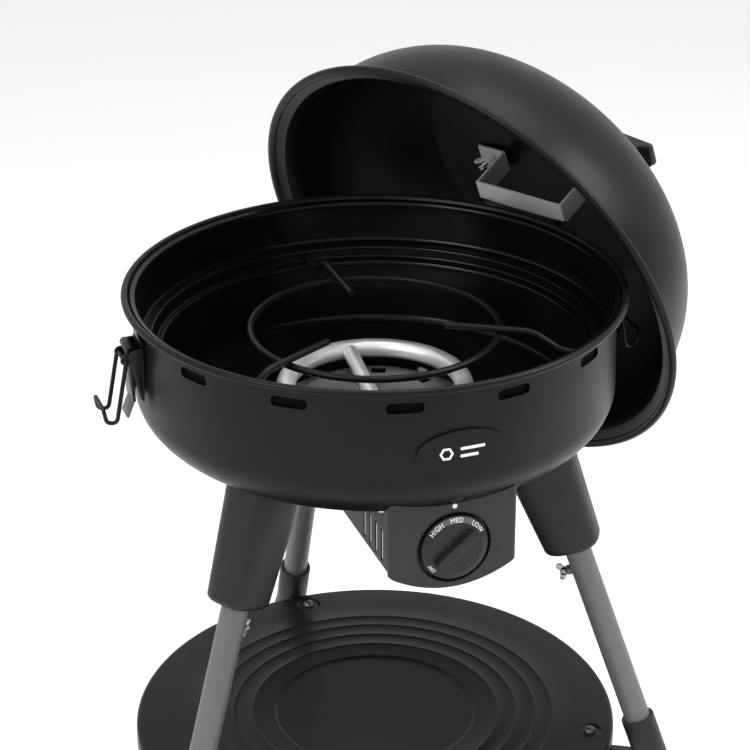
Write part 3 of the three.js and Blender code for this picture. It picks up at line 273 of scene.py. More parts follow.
# %% [markdown]
# ## Shapes from outlines
# Most pieces are an outline spun round the upright axis, an outline given a thickness, or a wire
# bent round a row of corners. An outline is easy to measure and to change, which a modelled mesh
# isn't.

# %% Turned shapes, slabs and wires
def turned(outline, steps=96):
    """Spins a closed outline of [radius, height] round the upright axis."""
    shape = bmesh.new()
    points = [shape.verts.new((r, 0, z)) for r, z in outline]
    on_axis = outline[0][0] == 0 and outline[-1][0] == 0
    loop = points if on_axis else points + points[:1]
    edges = [shape.edges.new(pair) for pair in zip(loop, loop[1:])]
    bmesh.ops.spin(shape, geom=points + edges, cent=(0, 0, 0), axis=(0, 0, 1),
                   angle=2 * math.pi, steps=steps, use_merge=True, use_duplicate=False)
    bmesh.ops.remove_doubles(shape, verts=shape.verts, dist=0.002)
    bmesh.ops.recalc_face_normals(shape, faces=shape.faces)
    return shape


def slab(outline, thickness, soften=0.0, segments=2):
    """Extrudes a flat outline upwards and rounds the edges of both flats."""
    shape = bmesh.new()
    face = shape.faces.new([shape.verts.new((x, y, 0)) for x, y in outline])
    grown = bmesh.ops.extrude_face_region(shape, geom=[face])["geom"]
    top = [v for v in grown if isinstance(v, bmesh.types.BMVert)]
    bmesh.ops.translate(shape, vec=(0, 0, thickness), verts=top)
    bmesh.ops.recalc_face_normals(shape, faces=shape.faces)
    if soften:
        flats = {f for f in shape.faces if abs(f.normal.z) > 0.99}
        rims = [e for e in shape.edges if len(flats.intersection(e.link_faces)) == 1]
        bmesh.ops.bevel(shape, geom=rims, offset=soften, segments=segments, profile=0.5,
                        affect="EDGES", material=-1)
    return shape


def rectangle(x0, x1, y0, y1):
    return [(x0, y0), (x1, y0), (x1, y1), (x0, y1)]


def bent_wire(corners, radius, bend=4.0, closed=False, fineness=3):
    """A round wire along corners, each bent over a radius."""
    path = softened(corners, bend, 6, closed)
    curve = bpy.data.curves.new("wire", "CURVE")
    curve.dimensions = "3D"
    curve.bevel_depth = radius
    curve.bevel_resolution = fineness
    curve.use_fill_caps = not closed
    line = curve.splines.new("POLY")
    line.points.add(len(path) - 1)
    for point, place in zip(line.points, path):
        point.co = (*place, 1)
    line.use_cyclic_u = closed
    holder = bpy.data.objects.new("wire", curve)
    mesh = bpy.data.meshes.new_from_object(holder)
    shape = bmesh.new()
    shape.from_mesh(mesh)
    bpy.data.objects.remove(holder)
    bpy.data.meshes.remove(mesh)
    bmesh.ops.remove_doubles(shape, verts=shape.verts, dist=0.002)
    bmesh.ops.recalc_face_normals(shape, faces=shape.faces)
    return shape


print("shape tools ready")

# %% [markdown]
# ## Putting pieces on the grill
# Shapes are moved into place, put together or cut, and then handed over. That last step names the
# finish, the body that the piece rides on, and the solids that it stands for.

# %% Joining, cutting and placing
def moved(shape, place):
    shape.transform(place)
    return shape


def together(*shapes):
    whole = shapes[0]
    for other in shapes[1:]:
        mesh = bpy.data.meshes.new("shape")
        other.to_mesh(mesh)
        other.free()
        whole.from_mesh(mesh)
        bpy.data.meshes.remove(mesh)
    return whole


def bench_object(shape):
    mesh = bpy.data.meshes.new("bench")
    shape.to_mesh(mesh)
    shape.free()
    item = bpy.data.objects.new("bench", mesh)
    bpy.context.scene.collection.objects.link(item)
    return item


def combined(shape, tools, operation="DIFFERENCE"):
    """Cuts the tools out of a shape, or keeps what they share."""
    body = bench_object(shape)
    for tool in tools:
        cutter = bench_object(tool)
        step = body.modifiers.new("cut", "BOOLEAN")
        step.operation = operation
        step.solver = "EXACT"
        step.object = cutter
    seen = body.evaluated_get(bpy.context.evaluated_depsgraph_get())
    mesh = bpy.data.meshes.new_from_object(seen)
    cutters = [m.object for m in body.modifiers]
    result = bmesh.new()
    result.from_mesh(mesh)
    for item in [body] + cutters:
        bpy.data.objects.remove(item)
    bmesh.ops.remove_doubles(result, verts=result.verts, dist=0.002)
    return result


def put_on_grill(name, shape, finish, body, stands_for=(), crease=32):
    """Carries a shape from the bench to the grill, smooths it and gives it a finish and a body."""
    shape.transform(to_grill)
    for face in shape.faces:
        face.smooth = True
    for edge in shape.edges:
        edge.smooth = edge.is_manifold and edge.calc_face_angle(0) < math.radians(crease)
    mesh = bpy.data.meshes.new(name)
    shape.to_mesh(mesh)
    shape.free()
    mesh.materials.append(finishes[finish])
    piece = bpy.data.objects.new(name, mesh)
    bpy.context.scene.collection.objects.link(piece)
    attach(piece, body)
    if stands_for:
        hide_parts(*stands_for)
    print(name, len(mesh.polygons), "faces")
    return piece


# %% [markdown]
# ## Two finishes on one piece
# Some faces of a pressing take a second finish: the lid's inside a darker, duller copy of the enamel,
# and the liner pan's outer wall a near-black painted shade. The faces are picked by where they are
# and which way they look, so that the piece stays in one mesh.

# %% A second finish on some faces
def second_finish(piece, finish, place, chosen):
    """Gives another finish to the faces that chosen(spot, way) picks, in a place's own frame."""
    piece.data.materials.append(finishes[finish])
    back = (to_grill @ place).inverted()
    count = 0
    for face in piece.data.polygons:
        if chosen(back @ face.center, back.to_3x3() @ face.normal):
            face.material_index = 1
            count += 1
    print(piece.name, count, "faces in", finish)


# %% [markdown]
# ## The bowl
# The bowl is one pressing: a flat bottom, an oval bend, a nearly straight wall and a rolled rim,
# with a row of air slots under the rim. It could start as a cylinder with loop cuts, but a spun
# outline keeps the true section, and the slots are punched afterwards, as in the real press.

# %% Bowl
wall_top, wall_low, flat, depth, bend_height = 224.4, 225.8, 133.6, 149.7, 57.7


def bowl_curve(grow=0.0, steps=16):
    line = [(0, -depth - grow), (flat * 0.5, -depth - grow)]
    for i in range(steps + 1):
        a = math.pi / 2 * (1 - i / steps)
        r = flat + (wall_low - flat + grow) * math.cos(a)
        line.append((r, bend_height - depth - (bend_height + grow) * math.sin(a)))
    return line + [(wall_top + grow + 0.3, -29), (wall_top + grow, -13)]


def bowl_solid(grow):
    return turned(bowl_curve(grow) + [(wall_top + grow, 0), (0, 0)], 112)


rolled = arc(231.6, -3.4, 3.4, -90, 180, 12)
lip = [(224.5, -10.5), (225.6, -8.2), (228.4, -6.9)] + rolled
hem = [(226.9, -4.9), (224.6, -5.9), (223.5, -8.6)]
bowl = turned(bowl_curve() + lip + hem + bowl_curve(-1)[::-1], 112)
slot_shape = softened(rectangle(-16.5, 16.5, -4.8, 4.8), 4.8, 6)
punches = []
for i in range(14):
    punch = moved(slab(slot_shape, 16), shift(0, -216, -21) @ turn(90, "X"))
    punches.append(moved(punch, turn((i + 0.5) * 360 / 14, "Z")))
bowl = combined(bowl, [together(*punches)])
put_on_grill("kettle_bowl", bowl, "satin_enamel", "stand", ["bowl_shell"])

# %% [markdown]
# ## The pan inside
# A second, glossier pan hangs in the bowl from a narrow flange. Two ledges run round it: the upper
# one carries a grate, the lower one the feet of the pot stand. Its corners are pressed soft, which
# is what draws the thin bright rings, so the outline is rounded before it is spun.

# %% Liner pan
pan_line = softened([(0, -138), (112, -138), (186, -122), (192, -117), (197.4, -63), (199, -58.8),
                     (206.4, -58), (207, -46.8), (218.5, -46), (221, -43), (221, -8), (222, -4.6),
                     (226.4, -3.1)], 2.6, 4, closed=False)
pan = turned(sheet_outline(pan_line, 1), 112)
panel_front = -210  # the front face of the control housing
knob_level = -168.5  # the height of the knob, where the feed tube starts
feed_rise, feed_run = 64.5, 254  # from that start to the burner
feed_angle = math.degrees(math.atan(feed_rise / feed_run))
feed_line = shift(0, panel_front + 20, knob_level) @ turn(feed_angle - 90, "X")
gas_way = moved(turned([(0, 20), (9, 20), (9, 110), (0, 110)], 24), feed_line)
pan = combined(pan, [gas_way])
liner = put_on_grill("liner_pan", pan, "gloss_enamel", "stand", ["inner_pan"])
# The pan's outer wall, seen through the bowl's air slots, gets a near-black painted shade so the slots read
# dark.
second_finish(liner, "slot_painted_shade", Matrix(),
              lambda spot, way: way.x * spot.x + way.y * spot.y > 0 and spot.xy.length > 200)

# %% [markdown]
# ## Badge
# An oval plate follows the bowl's front. Cutting an oval prism against a thin round band gives a
# plate that bends with the wall. Its mark here is a plain hexagon ring beside two bars.

# %% Badge plate and mark
band = turned([(226.1, -92), (227.2, -92), (227.2, -41), (226.1, -41)], 240)
oval = [(41.5 * math.cos(a), 21 * math.sin(a)) for a in [math.tau * i / 72 for i in range(72)]]
badge = combined(band, [moved(slab(oval, 40), shift(0, -200, -66.5) @ turn(90, "X"))], "INTERSECT")
put_on_grill("badge_oval", badge, "gloss_enamel", "stand", ["badge_plate"])


def on_badge(shape, x, z):
    """Stands a flat shape on the bent plate, x millimetres from its middle."""
    return moved(shape, turn(math.degrees(x / 227.2), "Z") @ shift(0, -227.1, z) @ turn(90, "X"))


hexagon = [(math.cos(math.tau * i / 6), math.sin(math.tau * i / 6)) for i in range(6)]
ring = combined(slab([(6.4 * x, 6.4 * y) for x, y in hexagon], 0.5),
                [moved(slab([(4.2 * x, 4.2 * y) for x, y in hexagon], 2), shift(0, 0, -0.6))])
bars = [on_badge(slab(softened(rectangle(-w, w, -1.4, 1.4), 1.2), 0.4, 0.12), x, z)
        for w, x, z in ((11.5, 9, -63), (8.5, 6, -70))]
put_on_grill("badge_mark", together(on_badge(ring, -15, -66.5), *bars), "legend_ink", "stand")

# %% [markdown]
# ## Burner
# A round aluminium tube is bent into a ring with rows of flame ports on its outer side. The feed
# tube rises from a bell mouth in the housing to the back of the ring. Both are spun, and the ring
# is then drilled.

# %% Burner ring, feed tube and dish
burner = turned(arc(84.2, -104, 9, 0, 345, 23), 96)
drills = []
for i in range(40):
    drill = moved(slab([(1.3 * x, 1.3 * y) for x, y in hexagon], 8), shift(88, 0, -101.5) @ turn(75, "Y"))
    drills.append(moved(drill, turn(9 * i + 4.5, "Z")))
burner = combined(burner, [together(*drills)])
put_on_grill("burner_tube_ring", burner, "cast_aluminium", "stand", ["burner_ring"])

feed_start, feed_end = 28.9, 273.5
feed_outline = softened([(8.3, feed_start), (9.5, feed_start), (9.3, feed_start + 3), (7, feed_start + 11),
                         (7, feed_end), (5.8, feed_end), (5.8, feed_start + 11)], 1.5, 3)
put_on_grill("burner_feed", moved(turned(feed_outline, 32), feed_line), "cast_aluminium", "stand",
             ["burner_feed_tube"])

dish_line = softened([(0, -118), (74, -118), (88, -136.2), (104, -136.2)], 4, 4, closed=False)
dish = turned(sheet_outline(dish_line, 1.2), 96)
windows = [moved(slab(rectangle(-6, 6, -7, 7), 10), turn(45 * i + 22.5, "Z") @ shift(62, 0, -123))
           for i in range(8)]
feed_gap = moved(turned([(0, 0), (9, 0), (9, 160), (0, 160)], 24), feed_line)
dish = combined(dish, [together(*windows), feed_gap])
rests = [moved(slab(softened(rectangle(-2.5, 2.5, -5, 5), 1), 5.6, 0.6),
               turn(a, "Z") @ shift(71, 0, -118.4)) for a in (30, 150, 270)]
put_on_grill("burner_heat_dish", together(dish, *rests), "steel_sheet", "stand", ["burner_dish"])

spark = turned(softened([(0, -14), (4, -14), (4, 4), (2, 8), (1, 9), (1, 21), (0, 22)], 1, 3, False), 28)
spark = moved(spark, turn(-70, "Z") @ shift(102.2, 0, -122))
put_on_grill("igniter", spark, "white_ceramic", "stand", ["spark_electrode"])

# %% [markdown]
# ## Pot stand
# The stand is a hoop of round bar with three arms welded on top. Each arm reaches inwards to hold a
# small pot and bends down at its outer end to rest on the pan's lower ledge. Bent wire is the
# natural tool: the corners are the bends, and the bar keeps its round section through them.

# %% Pot stand
legs = {"left": -150, "right": -30, "back": 90}
hoop = turned(arc(116.5, -44, 3.35, 0, 330, 11), 96)
put_on_grill("pot_hoop", hoop, "satin_enamel", "pot_stand", ["pot_ring"])
for side, azimuth in legs.items():
    bar = bent_wire([(66, 0, -37), (148, 0, -37), (176, 0, -54.4), (204, 0, -54.4)], 3.35, 9)
    put_on_grill("pot_bar_" + side, moved(bar, turn(azimuth, "Z")), "satin_enamel", "pot_stand",
                 ["pot_arm_" + side])

# %% [markdown]
# ## Control housing
# A folded sheet hangs under the bowl and holds the valve. Its front has rounded folds and a bowed
# lower edge, and its sides have four upright vents. The fold is extruded from a plan outline and
# the edges are then trimmed with cutters, as a sheet worker would trim a folded blank.

# %% Housing
knob_place = shift(0, panel_front, knob_level) @ turn(90, "X")
outer_fold = softened([(-60, -62), (-60, panel_front), (60, panel_front), (60, -62)], 6, 5, closed=False)
inner_fold = softened([(-58.5, -62), (-58.5, -208.5), (58.5, -208.5), (58.5, -62)], 4.5, 5, closed=False)
housing = moved(slab(outer_fold + inner_fold[::-1], 121), shift(0, 0, -211))
bow = [(x, -190.5 - 18.2 * (1 - (x / 60) ** 2)) for x in [5 * i - 60 for i in range(25)]]
under_front = slab([(-70, -187), (-60.5, -187)] + bow
                   + [(60.5, -187), (70, -187), (70, -230), (-70, -230)], 16)
trims = [
    bowl_solid(0.8),
    moved(under_front, shift(0, -200, 0) @ turn(90, "X")),
    moved(slab(rectangle(-70, 70, -203, -50), 45), shift(0, 0, -232)),
    moved(turned([(0, -8), (35.4, -8), (35.4, 10), (0, 10)], 96), knob_place),
]
vent_box = softened(rectangle(-16, 16, -2.5, 2.5), 2.4, 4)
trims += [moved(slab(vent_box, 140), shift(-70, -188 + 15.5 * i, -167) @ turn(90, "Y")) for i in range(4)]
housing = combined(housing, trims)
back_plate = slab(softened(rectangle(-58, 58, -187, -128), 2), 1.5, 0.3)
back_plate = combined(moved(back_plate, shift(0, -61, 0) @ turn(90, "X")),
                      [moved(slab(rectangle(-18, 18, -195, -167), 12), shift(0, -56, 0) @ turn(90, "X"))])
put_on_grill("front_housing", together(housing, back_plate), "panel_paint", "stand", ["control_housing"])

# %% [markdown]
# ## Knob
# The knob sits in a round cup. It is a shallow turned disc with a wide chamfer that carries the
# words, and a finger bar across it. The words are real letters laid on the slope: text is made a
# mesh first, then each point is wrapped round the knob's axis and dropped onto the chamfer.

# %% Knob, cup and legend
cup = softened([(3.3, -7), (37.8, -7), (37.8, -1.8), (35.3, -1.8), (35.3, 0.5), (34.5, 0.5), (34.1, -6),
                (3.3, -6)], 0.4, 3)
put_on_grill("knob_well", moved(turned(cup, 96), knob_place), "black_plastic", "stand", ["knob_cup"])

disc = softened([(0, -2), (30.2, -2), (31.3, -0.8), (31.3, 1.5), (25.3, 4), (0, 4)], 0.7, 4, closed=False)
grip = slab(softened(rectangle(-23, 23, -4.8, 4.8), 4.7, 8), 8, 1.2, 4)
knob = combined(turned(disc, 96), [moved(grip, turn(40, "Z") @ shift(0, 0, 3))], "UNION")
knob = combined(knob, [turned([(0, -4), (3.3, -4), (3.3, 6.3), (0, 6.3)], 24)])
put_on_grill("burner_knob", moved(knob, knob_place), "black_plastic", "knob", ["control_knob"])


def slope(r):
    return 4 - max(0, min(1, (r - 25.6) / 5.4)) * 2.3


def word_on_knob(word, degrees, size):
    letters = bpy.data.curves.new(word, "FONT")
    letters.body = word
    letters.size = size
    letters.align_x = "CENTER"
    letters.extrude = 0.12
    letters.space_character = 1.08
    letters.resolution_u = 3
    holder = bpy.data.objects.new(word, letters)
    mesh = bpy.data.meshes.new_from_object(holder)
    shape = bmesh.new()
    shape.from_mesh(mesh)
    bpy.data.objects.remove(holder)
    bpy.data.meshes.remove(mesh)
    for v in shape.verts:
        r = 26.1 + v.co.y
        a = math.radians(degrees) - v.co.x / 28
        v.co = (r * math.cos(a), r * math.sin(a), slope(r) + 0.2 + v.co.z)
    bmesh.ops.remove_doubles(shape, verts=shape.verts, dist=0.002)
    bmesh.ops.recalc_face_normals(shape, faces=shape.faces)
    return shape


band_cut = slab([(0, 0)] + [(40 * math.cos(math.radians(a)), 40 * math.sin(math.radians(a)))
                            for a in range(41, 133, 7)], 12)
band_ring = [(25.8, slope(25.8)), (30.7, slope(30.7)), (30.7, slope(30.7) + 0.14), (25.8, slope(25.8) + 0.14)]
band = combined(turned(band_ring, 96), [band_cut], "INTERSECT")
put_on_grill("knob_band", moved(band, knob_place), "legend_band", "knob")
dial_words = (("HIGH", 130, 5.9), ("MED", 88, 5.9), ("LOW", 42, 5.9), ("OFF", 217, 4.8))
words = [word_on_knob(*word) for word in dial_words]
put_on_grill("knob_words", moved(together(*words), knob_place), "legend_ink", "knob")
dot = turned(softened([(0, 0), (2.3, 0), (2.3, 0.5), (0, 0.6)], 0.2, 2, False), 32)
put_on_grill("setting_dot", moved(dot, shift(0, panel_front, -127.6) @ turn(90, "X")), "legend_ink", "stand")
rivet = turned(softened([(0, -1), (4.8, -1), (4.4, 0.6), (2.4, 1.5), (0, 1.7)], 1.4, 4, False), 32)
put_on_grill("housing_rivet", moved(rivet, shift(0, -216.6, -117.2) @ turn(116, "X")), "satin_enamel",
             "stand")

# %% [markdown]
# ## Legs
# Each leg is a moulded socket under the bowl, a grey tube, a clamp screw, a collar that also holds
# the shelf, a second tube and a foot. One leg is described along its own sloping line and placed
# three times. The socket's top is cut with the bowl's shape, so it fits the curve without a gap.

# %% Leg parts
splay = math.degrees(math.atan(0.3605))


def leg_line(side):
    return turn(legs[side], "Z") @ shift(157.7, 0, -150) @ turn(-splay, "Y")


def socket_shape(place):
    shape = slab(softened([(1, -1), (1, 1), (-1, 1), (-1, -1)], 0.9, 10), 142.4)
    for v in shape.verts:
        half = 25.6 + 0.035 * v.co.z
        v.co.x *= half if v.co.x > 0 else 30.2 + 0.1 * v.co.z
        v.co.y *= half
    foot_rim = [e for e in shape.edges if all(v.co.z < 0.01 for v in e.verts)]
    bmesh.ops.bevel(shape, geom=foot_rim, offset=6.5, segments=6, profile=0.5, affect="EDGES", material=-1)
    shape.transform(place @ shift(0, 0, -112.4))
    bore = moved(turned([(0, -130), (13.1, -130), (13.1, -29.7), (0, -29.7)], 40), place)
    return combined(shape, [bowl_solid(0.3), bore])


def tube_shape(top, end):
    return turned([(11.5, -top), (12.7, -top), (12.7, -end), (11.5, -end)], 48)


def threads(radius, low, high, pitch=1.1):
    count = int((high - low) / pitch)
    saw = [(radius - 0.35 * (i % 2), low + (high - low) * i / (2 * count)) for i in range(2 * count + 1)]
    return turned([(0, low)] + saw + [(0, high)], 24)


def wing_screw():
    wings = slab(softened([(-9, 9.4), (-8.8, 14.6), (-5, 15.6), (-2, 12.6), (2, 12.6), (5, 15.6),
                           (8.8, 14.6), (9, 9.4), (4, 7.8), (-4, 7.8)], 2.4, 4), 2.6, 0.9)
    hub = turned(softened([(0, 6.4), (4.6, 6.4), (4.6, 8.4), (3.6, 12.4), (0, 13)], 1, 3, False), 32)
    return together(threads(3, 0.2, 7), hub, moved(wings, shift(0, 1.3, 0) @ turn(90, "X")))


screw_down = 138.2  # how far down the leg its clamp screw sits
for side in legs:
    line = leg_line(side)
    put_on_grill("bowl_socket_" + side, socket_shape(line), "black_plastic", "stand", ["leg_socket_" + side])
    nut = moved(slab([(5.5 * x, 5.5 * y) for x, y in hexagon], 4.4, 0.6),
                shift(-12.3, 0, -screw_down) @ turn(-90, "Y"))
    put_on_grill("upper_tube_" + side, moved(together(tube_shape(30, 342.4), nut), line), "grey_tube_paint",
                 "stand", ["leg_upper_" + side])
    put_on_grill("lower_tube_" + side, moved(tube_shape(348.5, 696), line), "grey_tube_paint", "stand",
                 ["leg_lower_" + side])
    screw = moved(wing_screw(), line @ shift(-11.2, 0, -screw_down) @ turn(-90, "Y"))
    put_on_grill("clamp_screw_" + side, screw, "steel_screws", "leg_screw_" + side,
                 ["leg_wing_screw_" + side])

# %% [markdown]
# The collar is a turned sleeve with an arm that steps down under the shelf's edge and up again to
# the peg. Drawing the arm as one side view and extruding it keeps the step crisp. The foot is a
# turned cap cut off level with the ground, so it stands flat although the leg is sloping.

# %% Collars, pegs and feet
arm_view = [(206.5, -475.8), (206.5, -467.8), (231.5, -467.8), (231.5, -487), (263, -487), (263, -495),
            (219.5, -495), (219.5, -475.8)]
peg_circle = 217.5  # the radius that the three pegs stand on
for side, azimuth in legs.items():
    sleeve = turned(softened([(13, -379.4), (16.4, -379.4), (16.4, -311.4), (13, -311.4)], 1.6, 3), 48)
    band_low = turned(softened([(15.5, -379), (17.3, -379), (17.3, -371), (15.5, -371)], 0.8, 3), 48)
    arm = moved(slab(softened(arm_view, 1.2, 2), 22, 1.0),
                turn(azimuth, "Z") @ shift(0, 11, 0) @ turn(90, "X"))
    collar = together(moved(together(sleeve, band_low), leg_line(side)), arm)
    put_on_grill("shelf_collar_" + side, collar, "black_plastic", "stand", ["leg_collar_" + side])
    peg = turned(softened([(0, -7), (3, -7), (3, 0.3), (6, 0.3), (6, 2.4), (4.4, 5), (0, 6)],
                          0.9, 3, False), 36)
    put_on_grill("peg_" + side, moved(peg, turn(azimuth, "Z") @ shift(peg_circle, 0, -467.8)), "dark_steel",
                 "stand", ["shelf_peg_" + side])
    cap = turned(softened([(0, -740), (17, -740), (17, -666.4), (13, -666.4), (13, -695.8), (0, -695.8)],
                          1.5, 3, False), 48)
    cap.transform(leg_line(side))
    cut = bmesh.ops.bisect_plane(cap, geom=cap.verts[:] + cap.edges[:] + cap.faces[:], dist=0.001,
                                 plane_co=(0, 0, -820), plane_no=(0, 0, 1), clear_inner=True)
    sole = [e for e in cut["geom_cut"] if isinstance(e, bmesh.types.BMEdge)]
    bmesh.ops.contextual_create(cap, geom=sole)
    put_on_grill("foot_cap_" + side, cap, "black_plastic", "stand", ["leg_foot_" + side])

# %% [markdown]
# ## Shelf
# The shelf is a shallow pressed disc with a turned-down edge, a round recess in the middle and four
# stiffening rings. The rings are part of the spun outline. A dish is pressed round each peg hole.

# %% Shelf
def stiffening_ring(r):
    return [(r - 2.6, -466), (r - 1.3, -465.5), (r, -465.1), (r + 1.3, -465.5), (r + 2.6, -466)]


shelf_line = [(0, -468.5), (96, -468.5), (98.4, -468.2), (100.4, -466.4), (102.5, -466)]
for ring_radius in (123.7, 142.7, 161.6, 179.4):
    shelf_line += stiffening_ring(ring_radius)
shelf_line += [(206, -466)] + arc(235, -471, 5, 90, 0, 6) + [(240, -486)]
tray = turned(sheet_outline(shelf_line, 1.5), 128)
peg_holes = [moved(turned([(0, -480), (13, -480), (13, -455), (0, -455)], 40),
                   turn(a, "Z") @ shift(peg_circle, 0, 0))
             for a in legs.values()]
tray = combined(tray, [together(*peg_holes)])
dish_edge = [(13.2, -466), (12.4, -466.3), (10.6, -468.2), (9.2, -468.6), (9.2, -469.8), (11, -469.6),
             (12.8, -467.7), (13.2, -467.5)]
dishes = [moved(turned(dish_edge, 40), turn(a, "Z") @ shift(peg_circle, 0, 0)) for a in legs.values()]
put_on_grill("shelf_tray", together(tray, *dishes), "satin_enamel", "shelf", ["shelf"])

# %% [markdown]
# ## Toggle latches
# A latch at each side pulls the lid down when it is on the bowl. A plate with two cheeks holds a
# pin, a lever turns on the pin, and a wire bail hooks over the lid's rim. The lever's end is bent
# outwards, for a fingertip, and given a lighter grey than the lever.

# %% Latches
def flat_view(outline, width, soften=0.4):
    """Stands a side view upright, centred across the latch."""
    return moved(slab(outline, width, soften), shift(0, width / 2, 0) @ turn(90, "X"))


for side, azimuth in (("left", 180), ("right", 0)):
    out = turn(azimuth, "Z")
    pin_at = shift(236.5, 0, -29)
    plate = moved(slab(softened(rectangle(-17, 17, -73, -24), 3), 1.6, 0.5),
                  shift(226.3, 0, 0) @ turn(90, "Z") @ turn(90, "X"))
    cheek = softened([(226.6, -26), (236, -26.5), (239.6, -30), (239.2, -36), (231, -74), (226.8, -80)],
                     2.5, 3)
    cheeks = [moved(flat_view(cheek, 1.8), shift(0, y, 0)) for y in (-15.6, 15.6)]
    pin = moved(threads(2.4, -17, 17, 6), pin_at @ turn(90, "X"))
    rivets = [moved(turned(softened([(0, 0), (3, 0), (2.4, 1.3), (0, 1.6)], 0.6, 3, False), 20),
                    shift(227.8, y, -66) @ turn(90, "Y")) for y in (-9, 9)]
    put_on_grill("latch_plate_" + side, moved(together(plate, *cheeks, pin, *rivets), out), "latch_paint",
                 "stand", ["latch_base_" + side])
    leaf = flat_view(softened([(-1.2, 2), (3.4, -2), (0.2, -50), (-2.6, -50)], 0.5, 2), 26, 0.5)
    barrel = turned(softened([(2.8, -13), (4.6, -13), (4.6, 13), (2.8, 13)], 0.5, 2), 32)
    ear_view = softened([(0, -4), (6.4, -3.6), (10, -6.6), (10, -10.6), (6, -13), (0, -14)], 2, 3)
    ears = [moved(flat_view(ear_view, 2.4), shift(0, y, 0)) for y in (-11.6, 11.6)]
    lever = together(leaf, moved(barrel, turn(90, "X")), *ears)
    put_on_grill("latch_handle_" + side, moved(lever, out @ pin_at), "latch_paint", "latch_lever_" + side,
                 ["latch_lever_" + side])
    tip = flat_view(softened([(-2.6, -50.2), (0.2, -50.2), (6.4, -65.6), (4, -66.8)], 0.6, 2), 20, 0.5)
    # The bent tip gets a lighter grey than the lever's paint.
    put_on_grill("latch_tip_" + side, moved(tip, out @ pin_at), "lever_tip_grey", "latch_lever_" + side)
    half, lean = 16.5, 12
    runs = [(-0.4, 0), (lean - 1.5, -58), (lean + 8, -57), (lean + 10.6, -43)]
    corners = [(0, 0.6, 0)] + [(x, half, z) for x, z in runs] + [(x, -half, z) for x, z in runs[::-1]]
    bail = bent_wire(corners + [(0, -0.6, 0)], 2, 5)
    put_on_grill("latch_wire_" + side, moved(bail, out @ shift(242.9, 0, -37.4)), "latch_paint",
                 "latch_bail_" + side, ["latch_bail_" + side])

# %% [markdown]
# ## Lid
# The lid is a deep dome that hangs tipped back behind the bowl. Its wall follows an oval, squarer
# than an ellipse, and meets a shallow crown at a soft pressed ring. Its own frame has its middle at
# the rim and its axis through the crown, so every fitting on it can be drawn square.

# %% Lid frame and dome
lean_out, look_up = math.radians(30.4), math.radians(24.1)
lid_up = Vector((math.cos(look_up) * math.cos(lean_out), math.cos(look_up) * math.sin(lean_out),
                 math.sin(look_up)))
lid_across = Vector((-math.sin(lean_out), math.cos(lean_out), 0))
lid_along = lid_up.cross(lid_across)
lid_middle = Vector((183.8 * math.cos(math.radians(41.5)), 183.8 * math.sin(math.radians(41.5)), -48.5))
lid_place = Matrix.Translation(lid_middle) @ Matrix((lid_across, lid_along, lid_up)).transposed().to_4x4()
power = 2 / 2.37
shoulder = 172.3 * math.sqrt(1 - (140 / 225.6) ** 2.37) ** power


def crown(r):
    return shoulder + (156 - shoulder) * (1 - (r / 140) ** 2)


wall = []
for i in range(2, 60):
    a = math.radians(1.5 * i)
    r = 225.6 * math.cos(a) ** power
    if r > 142:
        wall.append((r, 172.3 * math.sin(a) ** power))
dome_line = wall + [(140 - 10 * i, crown(140 - 10 * i)) for i in range(15)]
inner = sheet_outline(dome_line, -1.5)[len(dome_line):]
roll = arc(241.8, 0, 4.2, 180, 450, 16)
dome = turned(roll + [(236, 4.6), (231.6, 6.6)] + dome_line + inner + [(228.6, 4.2), (234, 2.6)], 128)
bolt_reach = 72  # how far each of the two bolts stands from the middle of the lid
bolt_holes = [moved(turned([(0, 130), (3.3, 130), (3.3, 170), (0, 170)], 24), shift(x, 0, 0))
              for x in (-bolt_reach, bolt_reach)]
dome = combined(dome, [together(*bolt_holes)])
lid_shell = put_on_grill("lid_shell", moved(dome, lid_place), "satin_enamel", "lid", ["lid_dome"])
second_finish(lid_shell, "lid_inside", lid_place,
              lambda spot, way: way.dot(spot) < 0 and math.hypot(spot.x, spot.y) < 230)

# %% [markdown]
# The handle is a moulded bar on two short posts. Its side view is extruded across and its edges are
# well rounded, because a hand closes on them. Two long bolts run from it through the dome into the
# bracket's feet, where wing nuts hold everything without a tool.

# %% Lid handle, bracket and nuts
handle_view = softened([(-92.5, 205), (-78, 201.5), (-82, 158), (-62, 161), (-50, 199.5), (50, 199.5),
                        (62, 161), (82, 158), (78, 201.5), (92.5, 205), (92.5, 212), (46, 217.5),
                        (-46, 217.5), (-92.5, 212)], 5, 4)
handle = moved(slab(handle_view, 26, 3, 4), shift(0, 13, 0) @ turn(90, "X"))
room = turned([(0, -10), (244, -10)] + [(r, z + 0.4) for r, z in wall] + [(140, crown(140) + 0.4),
              (100, crown(100) + 0.4), (50, crown(50) + 0.4), (0, 156.4)], 96)
put_on_grill("lid_grip", moved(combined(handle, [room]), lid_place), "black_plastic", "lid", ["lid_handle"])

nut_low, nut_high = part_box("lid_wing_nut_left")
feet_top = crown(85.5) - 3.4
feet_low = feet_top - 2.5
hat = [(-85.5, feet_top), (-85.5, feet_low), (-53.5, feet_low), (-53.5, 98), (53.5, 98), (53.5, feet_low),
       (85.5, feet_low), (85.5, feet_top), (51, feet_top), (51, 100.5), (-51, 100.5), (-51, feet_top)]
bracket = moved(slab(softened(hat, 0.9, 2), 25, 0.4), shift(0, 12.5, 0) @ turn(90, "X"))
notches = [moved(slab(rectangle(x, x + 14, -13, -8.5), 8), shift(0, 0, 95)) for x in (-55, 41)]
holes = [moved(turned([(0, 140), (3.4, 140), (3.4, 156), (0, 156)], 24), shift(x, 0, 0))
         for x in (-bolt_reach, bolt_reach)]
bracket = combined(bracket, notches + holes)
put_on_grill("lid_hanger", moved(bracket, lid_place), "zinc_bracket", "lid", ["lid_bracket"])
